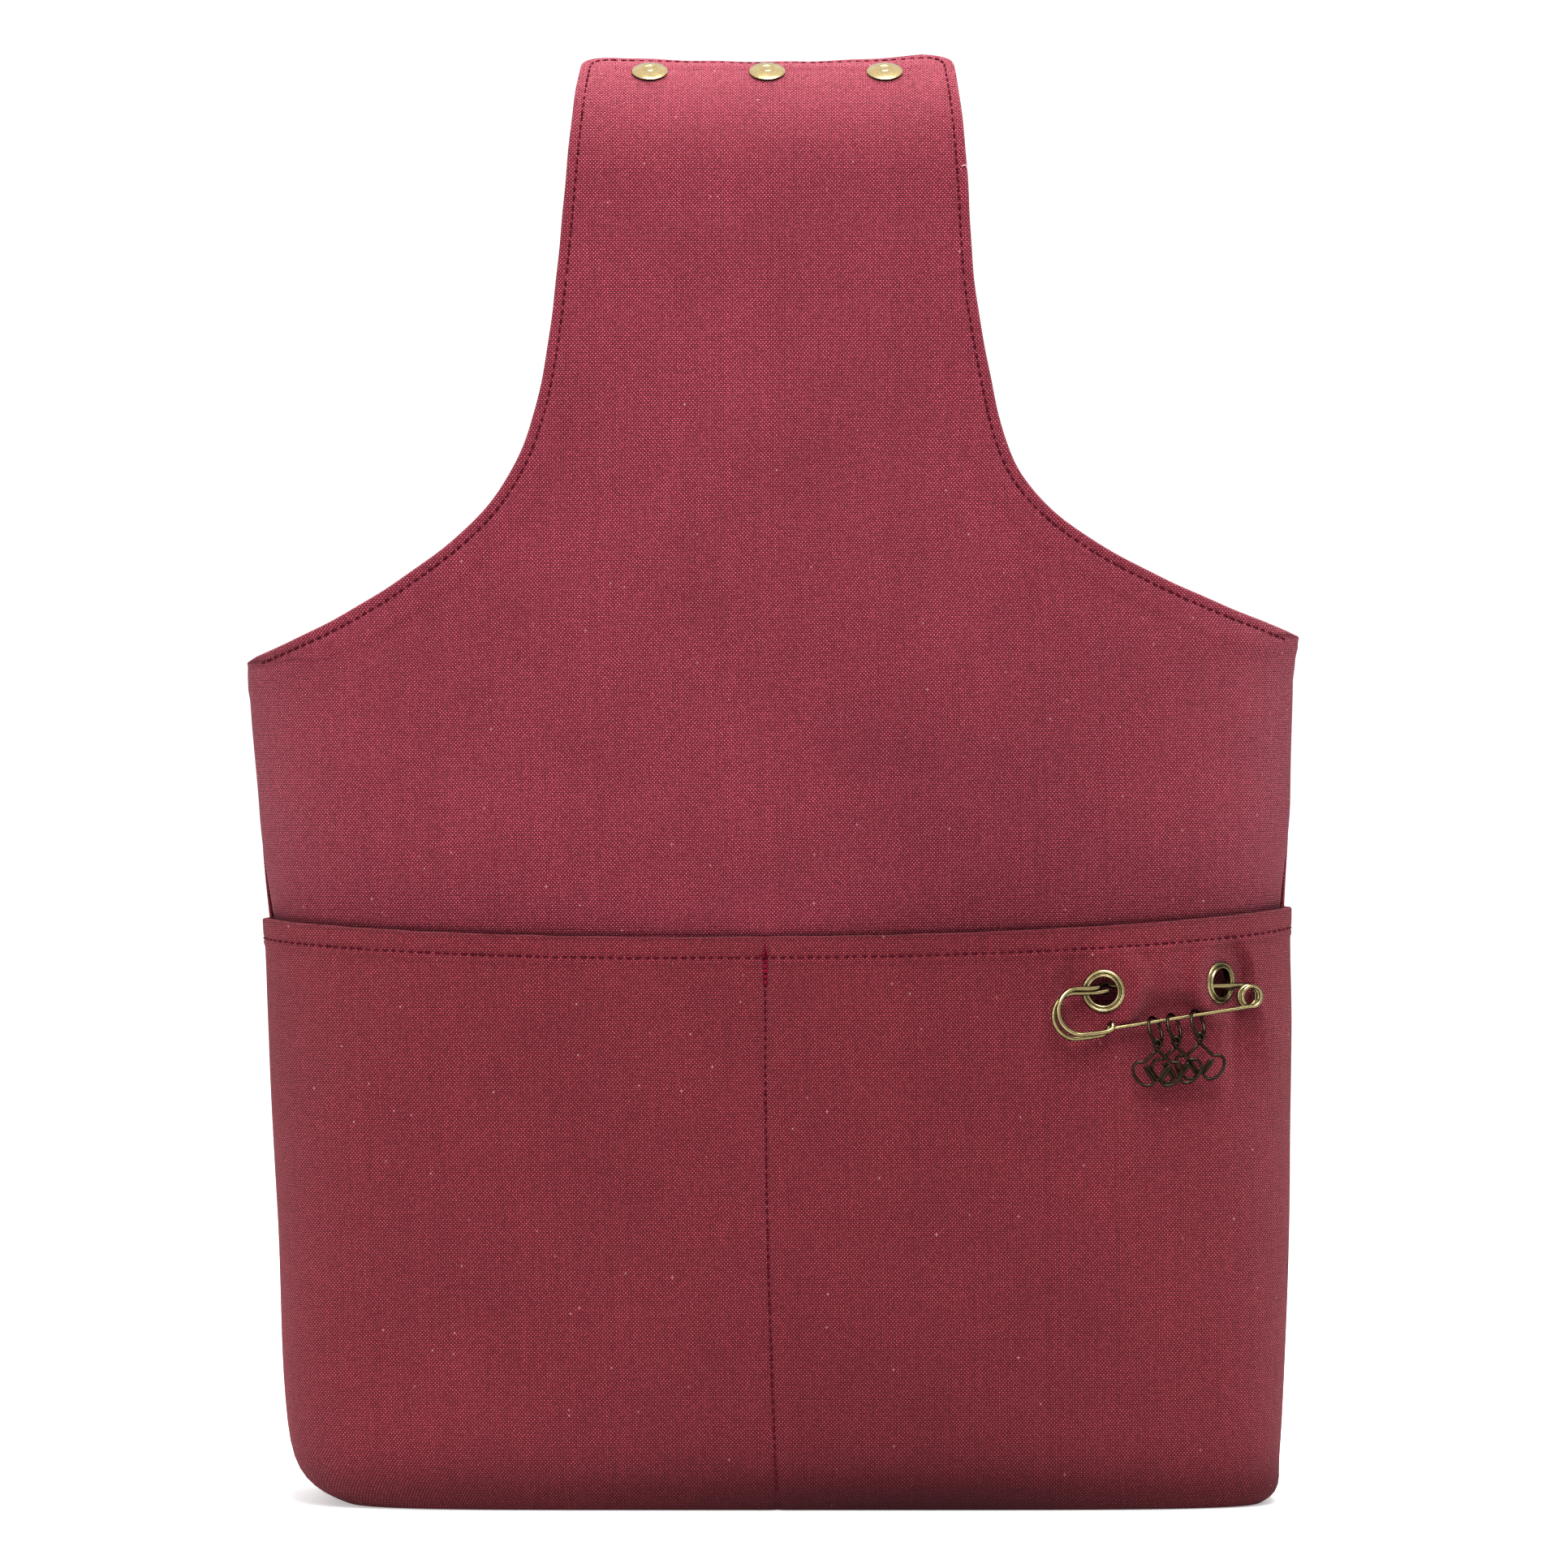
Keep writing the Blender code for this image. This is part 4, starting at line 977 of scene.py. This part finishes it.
def edge_stitches(side, low, high):
    """Points and normals of the topstitching between two heights, in runs on either side of a gap."""
    cloth = edge_path(side, EDGE_STITCH)
    h = cloth[:, 1]
    t = columns_of(side, cloth)
    lift = (front_lift(h) if side == "front" else 0.0) + 0.00012 + strap_curl(side, t, h)
    points, _ = wall(side, t, h, lift)
    above, _ = wall(side, t, h, lift + NORMAL_STEP)
    normals = (above - points) / NORMAL_STEP
    inside = (h >= low) & (h < high)
    breaks = np.flatnonzero(np.diff(inside.astype(int))) + 1
    return [(points[part], normals[part]) for part in np.split(np.arange(len(cloth)), breaks)
            if len(part) > 8 and inside[part[0]]]


def make_stitches():
    split = SPLIT_H + 0.002
    kinds = (("front", "front", SHOULDER_Z, split, bend_at_foot),
             ("strap", "front", split, 1.0, bend_at_knee),
             ("back", "back", SHOULDER_Z, 1.0, lambda piece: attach(piece, "bag")))
    for word, side, low, high, hold in kinds:
        for number, (points, normals) in enumerate(edge_stitches(side, low, high), start=1):
            hold(stitches(f"{word}_edge_stitches_{number}", points, normals))
    t = np.linspace(-0.972, 0.972, 900)
    h = pocket_height(t, HEM_Z) - HEM_STITCH
    points, _ = pocket_sheet(t, h, 0.00008 - side_inset(t) + seam_dip(t, h, "front"))
    hem = stitches("pocket_hem_stitches", points, wall_normals(pocket_sheet, t, h), width=0.00024)
    fixed(hem, "bag", "pocket_hem_thread")
    h = np.linspace(HEM_Z - 0.0006, 0.004, 400)
    points, _ = pocket_sheet(divider_column(h), h, -0.00068)
    normals = wall_normals(pocket_sheet, divider_column(h), h)
    divider = stitches("pocket_divider_stitches", points, normals)
    fixed(divider, "bag", "pocket_divider_thread")
    backtack(points, normals)
    loose_thread()


def backtack(points, normals):
    """The pocket's stress point: close rows of crimson stitches and a tuft of thread ends at the top."""
    run = np.linalg.norm(points - points[0], axis=1)
    top = (run > 0.0030) & (run < 0.0135)
    taper = (1.0 - run[top] / 0.0160)[:, None] * np.array((1.0, 0.0, 0.0))
    rows = ((-0.00062, 0.00034), (0.0, 0.00042), (0.00062, 0.00034))
    for number, (side, width) in enumerate(rows, start=1):
        tack = stitches(f"divider_backtack_{number}", points[top] + side * taper + normals[top] * 0.0003,
                        normals[top], CRIMSON_THREAD, pitch=0.0015, length=0.0014, width=width)
        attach(tack, "bag")
    spread = random.Random(4)
    heart = points[np.argmin(np.abs(run - 0.0042))] + normals[0] * 0.0006
    for number in range(9):
        step = (spread.uniform(-0.0004, 0.0003), 0.0, spread.uniform(-0.0008, 0.0008))
        start = Vector(heart) + Vector(step)
        reach = (spread.uniform(-0.0022, 0.0012), -spread.uniform(0.0003, 0.0010),
                 spread.uniform(-0.0006, 0.0026))
        tip = start + Vector(reach)
        bend = (start + tip) / 2 + Vector((0.0, -0.0005, 0.0004))
        tube(f"divider_tuft_{number + 1}", [start, bend, tip], 0.00014, CRIMSON_THREAD, "bag",
             sides=6)


def loose_thread():
    """A pale end of thread at the neck's right edge."""
    start = Vector(wall("front", 0.985, LOOSE_END_H, 0.0004)[0])
    steps = ((0.0, 0.0, 0.0), (0.0007, -0.0004, 0.0003), (0.0013, -0.0001, 0.0001), (0.0014, 0.0003, -0.0006))
    points = [start + Vector(step) for step in steps]
    bend_at_knee(tube("neck_thread_end", points, 0.00018, PALE_THREAD, None, sides=6))


# ---------------------------------------------------------------- metal

def tube(name, points, radius, material, body, node=None, closed=False, sides=14, smoothing=4,
         point=0.0):
    """A round wire on a smooth curve through the points; point sharpens the last stretch of that length."""
    path = np.array(spline([np.array(p) for p in points], smoothing, closed))
    count = len(path)
    ahead = np.roll(path, -1, axis=0)
    behind = np.roll(path, 1, axis=0)
    if not closed:
        ahead[-1] = path[-1]
        behind[0] = path[0]
    along = directions(ahead - behind)
    normal = np.array(Vector(along[0]).orthogonal().normalized())
    frames = []
    for way in along:
        normal = directions(normal - way * normal.dot(way))
        frames.append((normal, np.cross(way, normal)))
    twist = 0.0
    if closed:
        final = normal - along[0] * normal.dot(along[0])
        twist = math.atan2(final.dot(frames[0][1]), final.dot(frames[0][0]))
    run = run_along(path)
    thick = np.full(count, radius)
    if point:
        thick = radius * np.clip((run[-1] - run) / point, 0.12, 1.0) ** 0.7
    vertices = []
    for k, (first, second) in enumerate(frames):
        for j in range(sides):
            angle = 2.0 * math.pi * j / sides - twist * k / count
            vertices.append(path[k] + thick[k] * (math.cos(angle) * first + math.sin(angle) * second))
    obj = new_object(name, vertices, rod_faces(count, sides, closed), material, body)
    if node:
        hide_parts(node)
    return obj


def spline(points, steps, closed):
    """Catmull-Rom curve through the points."""
    count = len(points)
    found = []
    for k in range(count if closed else count - 1):
        near = [k + d for d in (-1, 0, 1, 2)]
        p = [points[n % count] if closed else points[min(count - 1, max(0, n))] for n in near]
        terms = (2.0 * p[1], p[2] - p[0], 2.0 * p[0] - 5.0 * p[1] + 4.0 * p[2] - p[3],
                 3.0 * p[1] - p[0] - 3.0 * p[2] + p[3])
        for j in range(steps):
            found.append(0.5 * sum(term * (j / steps) ** power for power, term in enumerate(terms)))
    if not closed:
        found.append(points[-1])
    return found


def rounded(profile, radius, steps=3):
    """A profile with a small curve in place of each corner."""
    points = [np.array(p) for p in profile]
    found = []
    for k, corner in enumerate(points):
        if corner[0] == 0.0:
            found.append(corner)
            continue
        ends = []
        for other in (points[k - 1], points[(k + 1) % len(points)]):
            gap = other - corner
            size = np.linalg.norm(gap)
            ends.append(corner + gap * min(radius, 0.45 * size) / size)
        for j in range(steps + 1):
            s = j / steps
            found.append((1 - s) ** 2 * ends[0] + 2 * s * (1 - s) * corner + s ** 2 * ends[1])
    return found


def turned(name, profile, place, material, body, node, radius=0.00018, sides=56):
    """A ring or disc turned about local Z."""
    loop = rounded(profile, radius)
    vertices = []
    for k in range(sides):
        angle = 2.0 * math.pi * k / sides
        vertices += [tuple(place @ Vector((r * math.cos(angle), r * math.sin(angle), h))) for r, h in loop]
    faces = [[a, d, c, b] for a, b, c, d in grid_faces(sides, len(loop), True, loop[0][0] > 0.0)]
    obj = new_object(name, vertices, faces, material)
    obj.modifiers.new("weld", "WELD").merge_threshold = 0.000002
    fixed(obj, body, node)


def axes_at(axes, origin):
    """The matrix of three axes with its origin."""
    matrix = Matrix(axes).transposed().to_4x4()
    matrix.translation = origin
    return matrix


def facing(side_vector, normal, origin):
    z_axis = Vector(normal).normalized()
    y_axis = z_axis.cross(Vector(side_vector)).normalized()
    return axes_at((y_axis.cross(z_axis), y_axis, z_axis), Vector(origin))


def snap_places():
    turn = math.radians(SNAP_ANGLE)
    normal = Vector((0.0, -math.cos(turn), math.sin(turn)))
    places = []
    for number in (-1, 0, 1):
        middle = Vector((number * SNAP_SPACING + NECK_CENTRE, 0.0, ARCH_Z)) + SHIFT
        places.append(facing((1, 0, 0), normal, middle + FRONT_ARCH_R * normal))
    return places


def eyelet_places():
    places = []
    for ex, ez, yaw, ey in zip(EYELET_X, EYELET_Z, EYELET_YAW, EYELET_DEPTH):
        turn = math.radians(yaw)
        centre = placed("front", ex, ey, ez)
        places.append(facing((0, 0, 1), (math.sin(turn), -math.cos(turn), 0.0), centre))
    return places


CAP_PROFILE = ((0.0, 0.00150), (0.0013, 0.00147), (0.0015, 0.00126), (0.0018, 0.00124), (0.0020, 0.00144),
               (0.0030, 0.00130), (0.0040, 0.00106), (0.0047, 0.00082), (0.0052, 0.00056), (0.0052, 0.00036),
               (0.0048, 0.00015), (0.0014, 0.00015), (0.0014, -0.0021), (0.0, -0.0021))
SOCKET_PROFILE = ((0.0, -0.0025), (0.0044, -0.0025), (0.0048, -0.0029), (0.0048, -0.0040), (0.0043, -0.0043),
                  (0.0030, -0.0040), (0.0023, -0.0043), (0.0023, -0.0028), (0.0, -0.0028))
STUD_PROFILE = ((0.0, -0.0031), (0.0016, -0.0031), (0.0019, -0.0034), (0.0017, -0.0046), (0.0036, -0.0046),
                (0.0047, -0.0048), (0.0047, -0.0052), (0.0, -0.0052))
POST_PROFILE = ((0.0, -0.0055), (0.0012, -0.0055), (0.0012, -0.0079), (0.0045, -0.0079), (0.0045, -0.0084),
                (0.0030, -0.0086), (0.0012, -0.0083), (0.0, -0.0083))


def make_snaps():
    kinds = (("cap", CAP_PROFILE, "strap_end"), ("socket", SOCKET_PROFILE, "strap_end"),
             ("stud", STUD_PROFILE, "bag"), ("post", POST_PROFILE, "bag"))
    for number, place in enumerate(snap_places(), start=1):
        for word, profile, body in kinds:
            turned(f"snap_{word}_metal_{number}", profile, place, SNAP_LOOK, body, f"snap_{word}_{number}")


def make_eyelets():
    face = CANVAS / 2 + 0.0002
    eyelet = ((EYELET_HOLE_R, -face - 0.0003), (0.0046, -face - 0.0007), (0.0050, -face - 0.0007),
              (0.0051, -face - 0.0005), (0.0044, -face - 0.00045), (0.0044, face - 0.0001),
              (EYELET_FLANGE_R, face - 0.0001), (EYELET_FLANGE_R, face + 0.00012), (0.0057, face + 0.00050),
              (0.0053, face + 0.00044), (0.0050, face + 0.00014), (0.0048, face + 0.00014),
              (0.0046, face + 0.00062), (0.0042, face + 0.00062), (EYELET_HOLE_R, face + 0.00020))
    washer = ((0.0047, -face - 0.00025), (0.0060, -face - 0.00025), (0.0060, -face), (0.0047, -face))
    for word, place in zip(("left", "right"), eyelet_places()):
        turned(f"eyelet_metal_{word}", eyelet, place, BRASS_LOOK, "bag", f"eyelet_{word}", 0.00016)
        turned(f"washer_metal_{word}", washer, place, BRASS_LOOK, "bag", f"eyelet_washer_{word}", 0.0001)


def pin_matrix():
    """Pin coordinates: X along the arm to the right, Y out from the canvas, Z up from the floor."""
    left, right = [m.translation for m in eyelet_places()]
    middle = (left + right) / 2
    turn = math.radians(PIN_YAW)
    along = Vector((math.cos(turn), math.sin(turn), 0.0))
    out = Vector((math.sin(turn), -math.cos(turn), 0.0))
    return axes_at((along, out, Vector((0, 0, 1))), Vector((middle.x, middle.y, 0.0)))


def arc_points(centre, radius, start, stop, steps, out_from, out_to):
    points = []
    for k in range(steps + 1):
        share = k / steps
        angle = math.radians(start + (stop - start) * share)
        out = out_from + (out_to - out_from) * share
        points.append((centre[0] + radius * math.cos(angle), out, centre[1] + radius * math.sin(angle)))
    return points


def pin_frame_points():
    """The frame's one wire: rear strand round the head, hook over the needle, front strand, arm and coil."""
    head = (HEAD_U, PIN_ARM_Z - HEAD_R)
    rear = (head[0] - 0.0008, head[1] - 0.0013)
    rear_out = NEEDLE_OUT[0] - HOOK_R
    front_out = NEEDLE_OUT[0] + HOOK_R
    points = [(-0.0158, -0.0004, PIN_ARM_Z - 0.0007), (-0.0190, -0.0003, PIN_ARM_Z - 0.0012),
              (-0.0225, -0.0003, PIN_ARM_Z - 0.0013)]
    points += arc_points(rear, HEAD_R, 90, 270, 14, -0.0003, rear_out)
    points += [(CATCH_U - 0.0040, rear_out, CATCH_Z - 0.0021), (CATCH_U - 0.0014, rear_out, CATCH_Z - 0.0014)]
    for k in range(7):
        angle = math.pi * k / 6
        points.append((CATCH_U + 0.0002 * math.sin(angle), NEEDLE_OUT[0] - HOOK_R * math.cos(angle),
                       CATCH_Z + 0.0002 + HOOK_R * math.sin(angle)))
    points += [(CATCH_U - 0.0010, front_out, CATCH_Z - 0.0004),
               (CATCH_U - 0.0030, front_out, CATCH_Z - 0.0009)]
    points += arc_points(head, HEAD_R, 270, 90, 14, front_out, 0.0004)
    for u, out, rise in ((-0.0225, 0.0004, -0.0001), (-0.0202, 0.0002, 0.0001), (-0.0189, -0.0003, 0.0005),
                         (-0.0178, -0.0014, 0.0009), (-0.0166, -0.0024, 0.0010), (-0.0145, -0.0026, 0.0006),
                         (-0.0110, -0.0016, 0.0002), (-0.0060, 0.0, 0.0), (0.0140, 0.0, 0.0)):
        points.append((u, out, PIN_ARM_Z + rise))
    return points + arc_points(COIL_CENTRE, COIL_R, 90, -380, 36, 0.0, NEEDLE_OUT[1] - 0.0016)


def needle_points():
    out = NEEDLE_OUT[1]
    slope = math.degrees(math.atan2(PIN_ARM_Z - 2 * COIL_R - CATCH_Z, COIL_U - CATCH_U))
    points = [Vector(p) for p in arc_points(COIL_CENTRE, COIL_R, 225, -90 - slope, 24, out, out)]
    last = points[-1]
    tip = Vector((CATCH_U - 0.0012, NEEDLE_OUT[0], CATCH_Z - 0.0001))
    return points + [last.lerp(tip, share) for share in (0.08, 0.3, 0.55, 0.8, 1.0)]


def needle_at(u):
    points = needle_points()
    start = points[-6]
    tip = points[-1]
    return start.lerp(tip, (start.x - u) / (start.x - tip.x))


def make_pin():
    matrix = pin_matrix()
    tube("pin_frame_wire", [matrix @ Vector(p) for p in pin_frame_points()], PIN_WIRE_R, BRASS_LOOK, "pin",
         "pin_frame")
    tube("pin_needle_wire", [matrix @ p for p in needle_points()], NEEDLE_R, BRASS_LOOK, "needle",
         "pin_needle", point=0.004)


def marker_shape(number):
    pin = pin_matrix()
    turn = pin.to_3x3()
    needle = pin @ needle_at(MARKER_U[number])
    tilt = math.radians(RING_TILT)
    down = turn @ Vector((0.0, math.sin(tilt), -math.cos(tilt)))
    face = math.radians(RING_FACE)
    across = Vector((-math.cos(face), math.sin(face) * math.cos(tilt), math.sin(face) * math.sin(tilt)))
    centre = needle + down * (RING_HALF[1] - NEEDLE_R - MARKER_WIRE_R - GAP)
    eye = centre + down * RING_HALF[1] + Vector((0.0, 0.0, -0.0001))
    return centre, turn @ across, down, eye


def charm_points(eye):
    """A bent wire: an eye, crossed legs, a loop on each side and a V between the loops."""
    side = [(0.0010, -0.0091), (0.0020, -0.0077), (0.0029, -0.0066), (0.0035, -0.0065), (0.0033, -0.0073),
            (0.0024, -0.0085), (0.0015, -0.0098), (0.0011, -0.0108), (0.0016, -0.0116), (0.0029, -0.0119),
            (0.0045, -0.0114), (0.0059, -0.0101), (0.0068, -0.0084), (0.0069, -0.0068), (0.0062, -0.0056),
            (0.0050, -0.0052), (0.0038, -0.0052), (0.0027, -0.0042), (0.0014, -0.0029)]
    right = [Vector((x, 0.0, z)) for x, z in side]
    right.append(Vector((0.0, -CHARM_CROSS, -0.0017)))
    for k in range(5):
        angle = math.radians(212 - 110 * k / 4)
        right.append(Vector((EYE_R * math.cos(angle), -CHARM_CROSS * (4 - k) / 6, EYE_R * math.sin(angle))))
    left = [Vector((-p.x, -p.y, p.z)) for p in reversed(right)]
    return [eye + p for p in [Vector((0.0, 0.0, -0.0103))] + right + left]


def make_markers():
    for number in range(3):
        centre, across, down, eye = marker_shape(number)
        ring = []
        for k in range(24):
            angle = 2.0 * math.pi * k / 24
            aside = across * RING_HALF[0] * math.cos(angle)
            ring.append(centre + aside + down * RING_HALF[1] * math.sin(angle))
        for word, body, points, smoothing in (("ring", "marker", ring, 2),
                                              ("charm", "charm", charm_points(eye), 3)):
            body = f"{body}_{number + 1}"
            tube(f"marker_{word}_wire_{number + 1}", points, MARKER_WIRE_R, BRONZE_LOOK, body,
                 f"marker_{word}_{number + 1}", closed=True, smoothing=smoothing)


# ---------------------------------------------------------------- stage

def make_stage():
    """A floor that glows white as painted light near and behind the bag and is painted grey further in front,
    a studio world and three lights.
    """
    mesh = bpy.data.meshes.new("floor")
    mesh.from_pydata([(-6, -4, 0), (6, -4, 0), (6, 6, 0), (-6, 6, 0)], [], [(0, 1, 2, 3)])
    material, tree, shader = tree_of("floor")
    # Painted light: the floor glows and is white near and behind the bag, and is painted grey further in
    # front
    lit = ranged(tree, parts_of(tree, coordinate(tree, "Object"))[1], -0.26, -0.06)
    feed(tree, shader, {
        "Base Color": mixed(tree, lit, (0.50, 0.50, 0.50), (0.92, 0.92, 0.92)),
        "Roughness": 0.7,
        "Emission Color": (1.0, 1.0, 1.0),
        "Emission Strength": ranged(tree, lit, 0.0, 1.0, 0.0, 0.38),
    })
    mesh.materials.append(material)
    floor = in_scene(bpy.data.objects.new("floor", mesh), (0.0, 0.0, CAD_BOX[0][2] - 0.0002))
    make_world()
    area_light("key", (0.10, -0.50, 0.98), (0.0, 0.0, 0.28), 0.6, 13.5)
    area_light("fill", (-1.3, -1.5, 0.8), (0.0, 0.0, 0.25), 1.2, 9.0)
    top = area_light("top", (0.02, 0.13, 0.86), (0.0, -0.03, 0.41), 0.30, 4.6)
    top.visible_glossy = False


def make_world():
    """A white backdrop behind the bag and a bright ceiling; the room in front is darker."""
    world = bpy.data.worlds.new("studio")
    bpy.context.scene.world = world
    world.use_nodes = True
    tree = world.node_tree
    way = parts_of(tree, coordinate(tree, "Generated"))
    backdrop = ranged(tree, way[1], 0.10, 0.55)
    ceiling = ranged(tree, way[2], 0.35, 0.80, 0.0, 0.85)
    sides = ranged(tree, maths(tree, "ABSOLUTE", way[0]), 0.45, 0.95, 0.0, 0.36)
    bright = maths(tree, "MAXIMUM", maths(tree, "MAXIMUM", backdrop, ceiling), sides)
    inputs = {"Strength": ranged(tree, bright, 0.0, 1.0, 0.22, 1.12), "Color": (1.0, 1.0, 1.0)}
    feed(tree, tree.nodes["Background"], inputs)


def in_scene(obj, place):
    obj.location = place
    bpy.context.scene.collection.objects.link(obj)
    return obj


def area_light(name, place, target, size, watts):
    data = bpy.data.lights.new(name, "AREA")
    data.energy = watts
    data.size = size
    light = in_scene(bpy.data.objects.new(name, data), place)
    light.rotation_euler = (Vector(target) - Vector(place)).to_track_quat("-Z", "Y").to_euler()
    return light


def make_camera():
    data = bpy.data.cameras.new("camera")
    data.sensor_width = 36.0
    data.lens = CAMERA_LENS
    camera = in_scene(bpy.data.objects.new("camera", data), (SHIFT.x, SHIFT.y - CAMERA_AWAY, CAMERA_Z))
    camera.rotation_euler = (math.radians(90.0 - CAMERA_DOWN), 0.0, 0.0)
    bpy.context.scene.camera = camera


bpy.context.scene.view_settings.view_transform = "Standard"
for make in (make_front, make_back, make_pocket, make_stitches, make_snaps, make_eyelets, make_pin,
             make_markers, make_stage, make_camera):
    make()
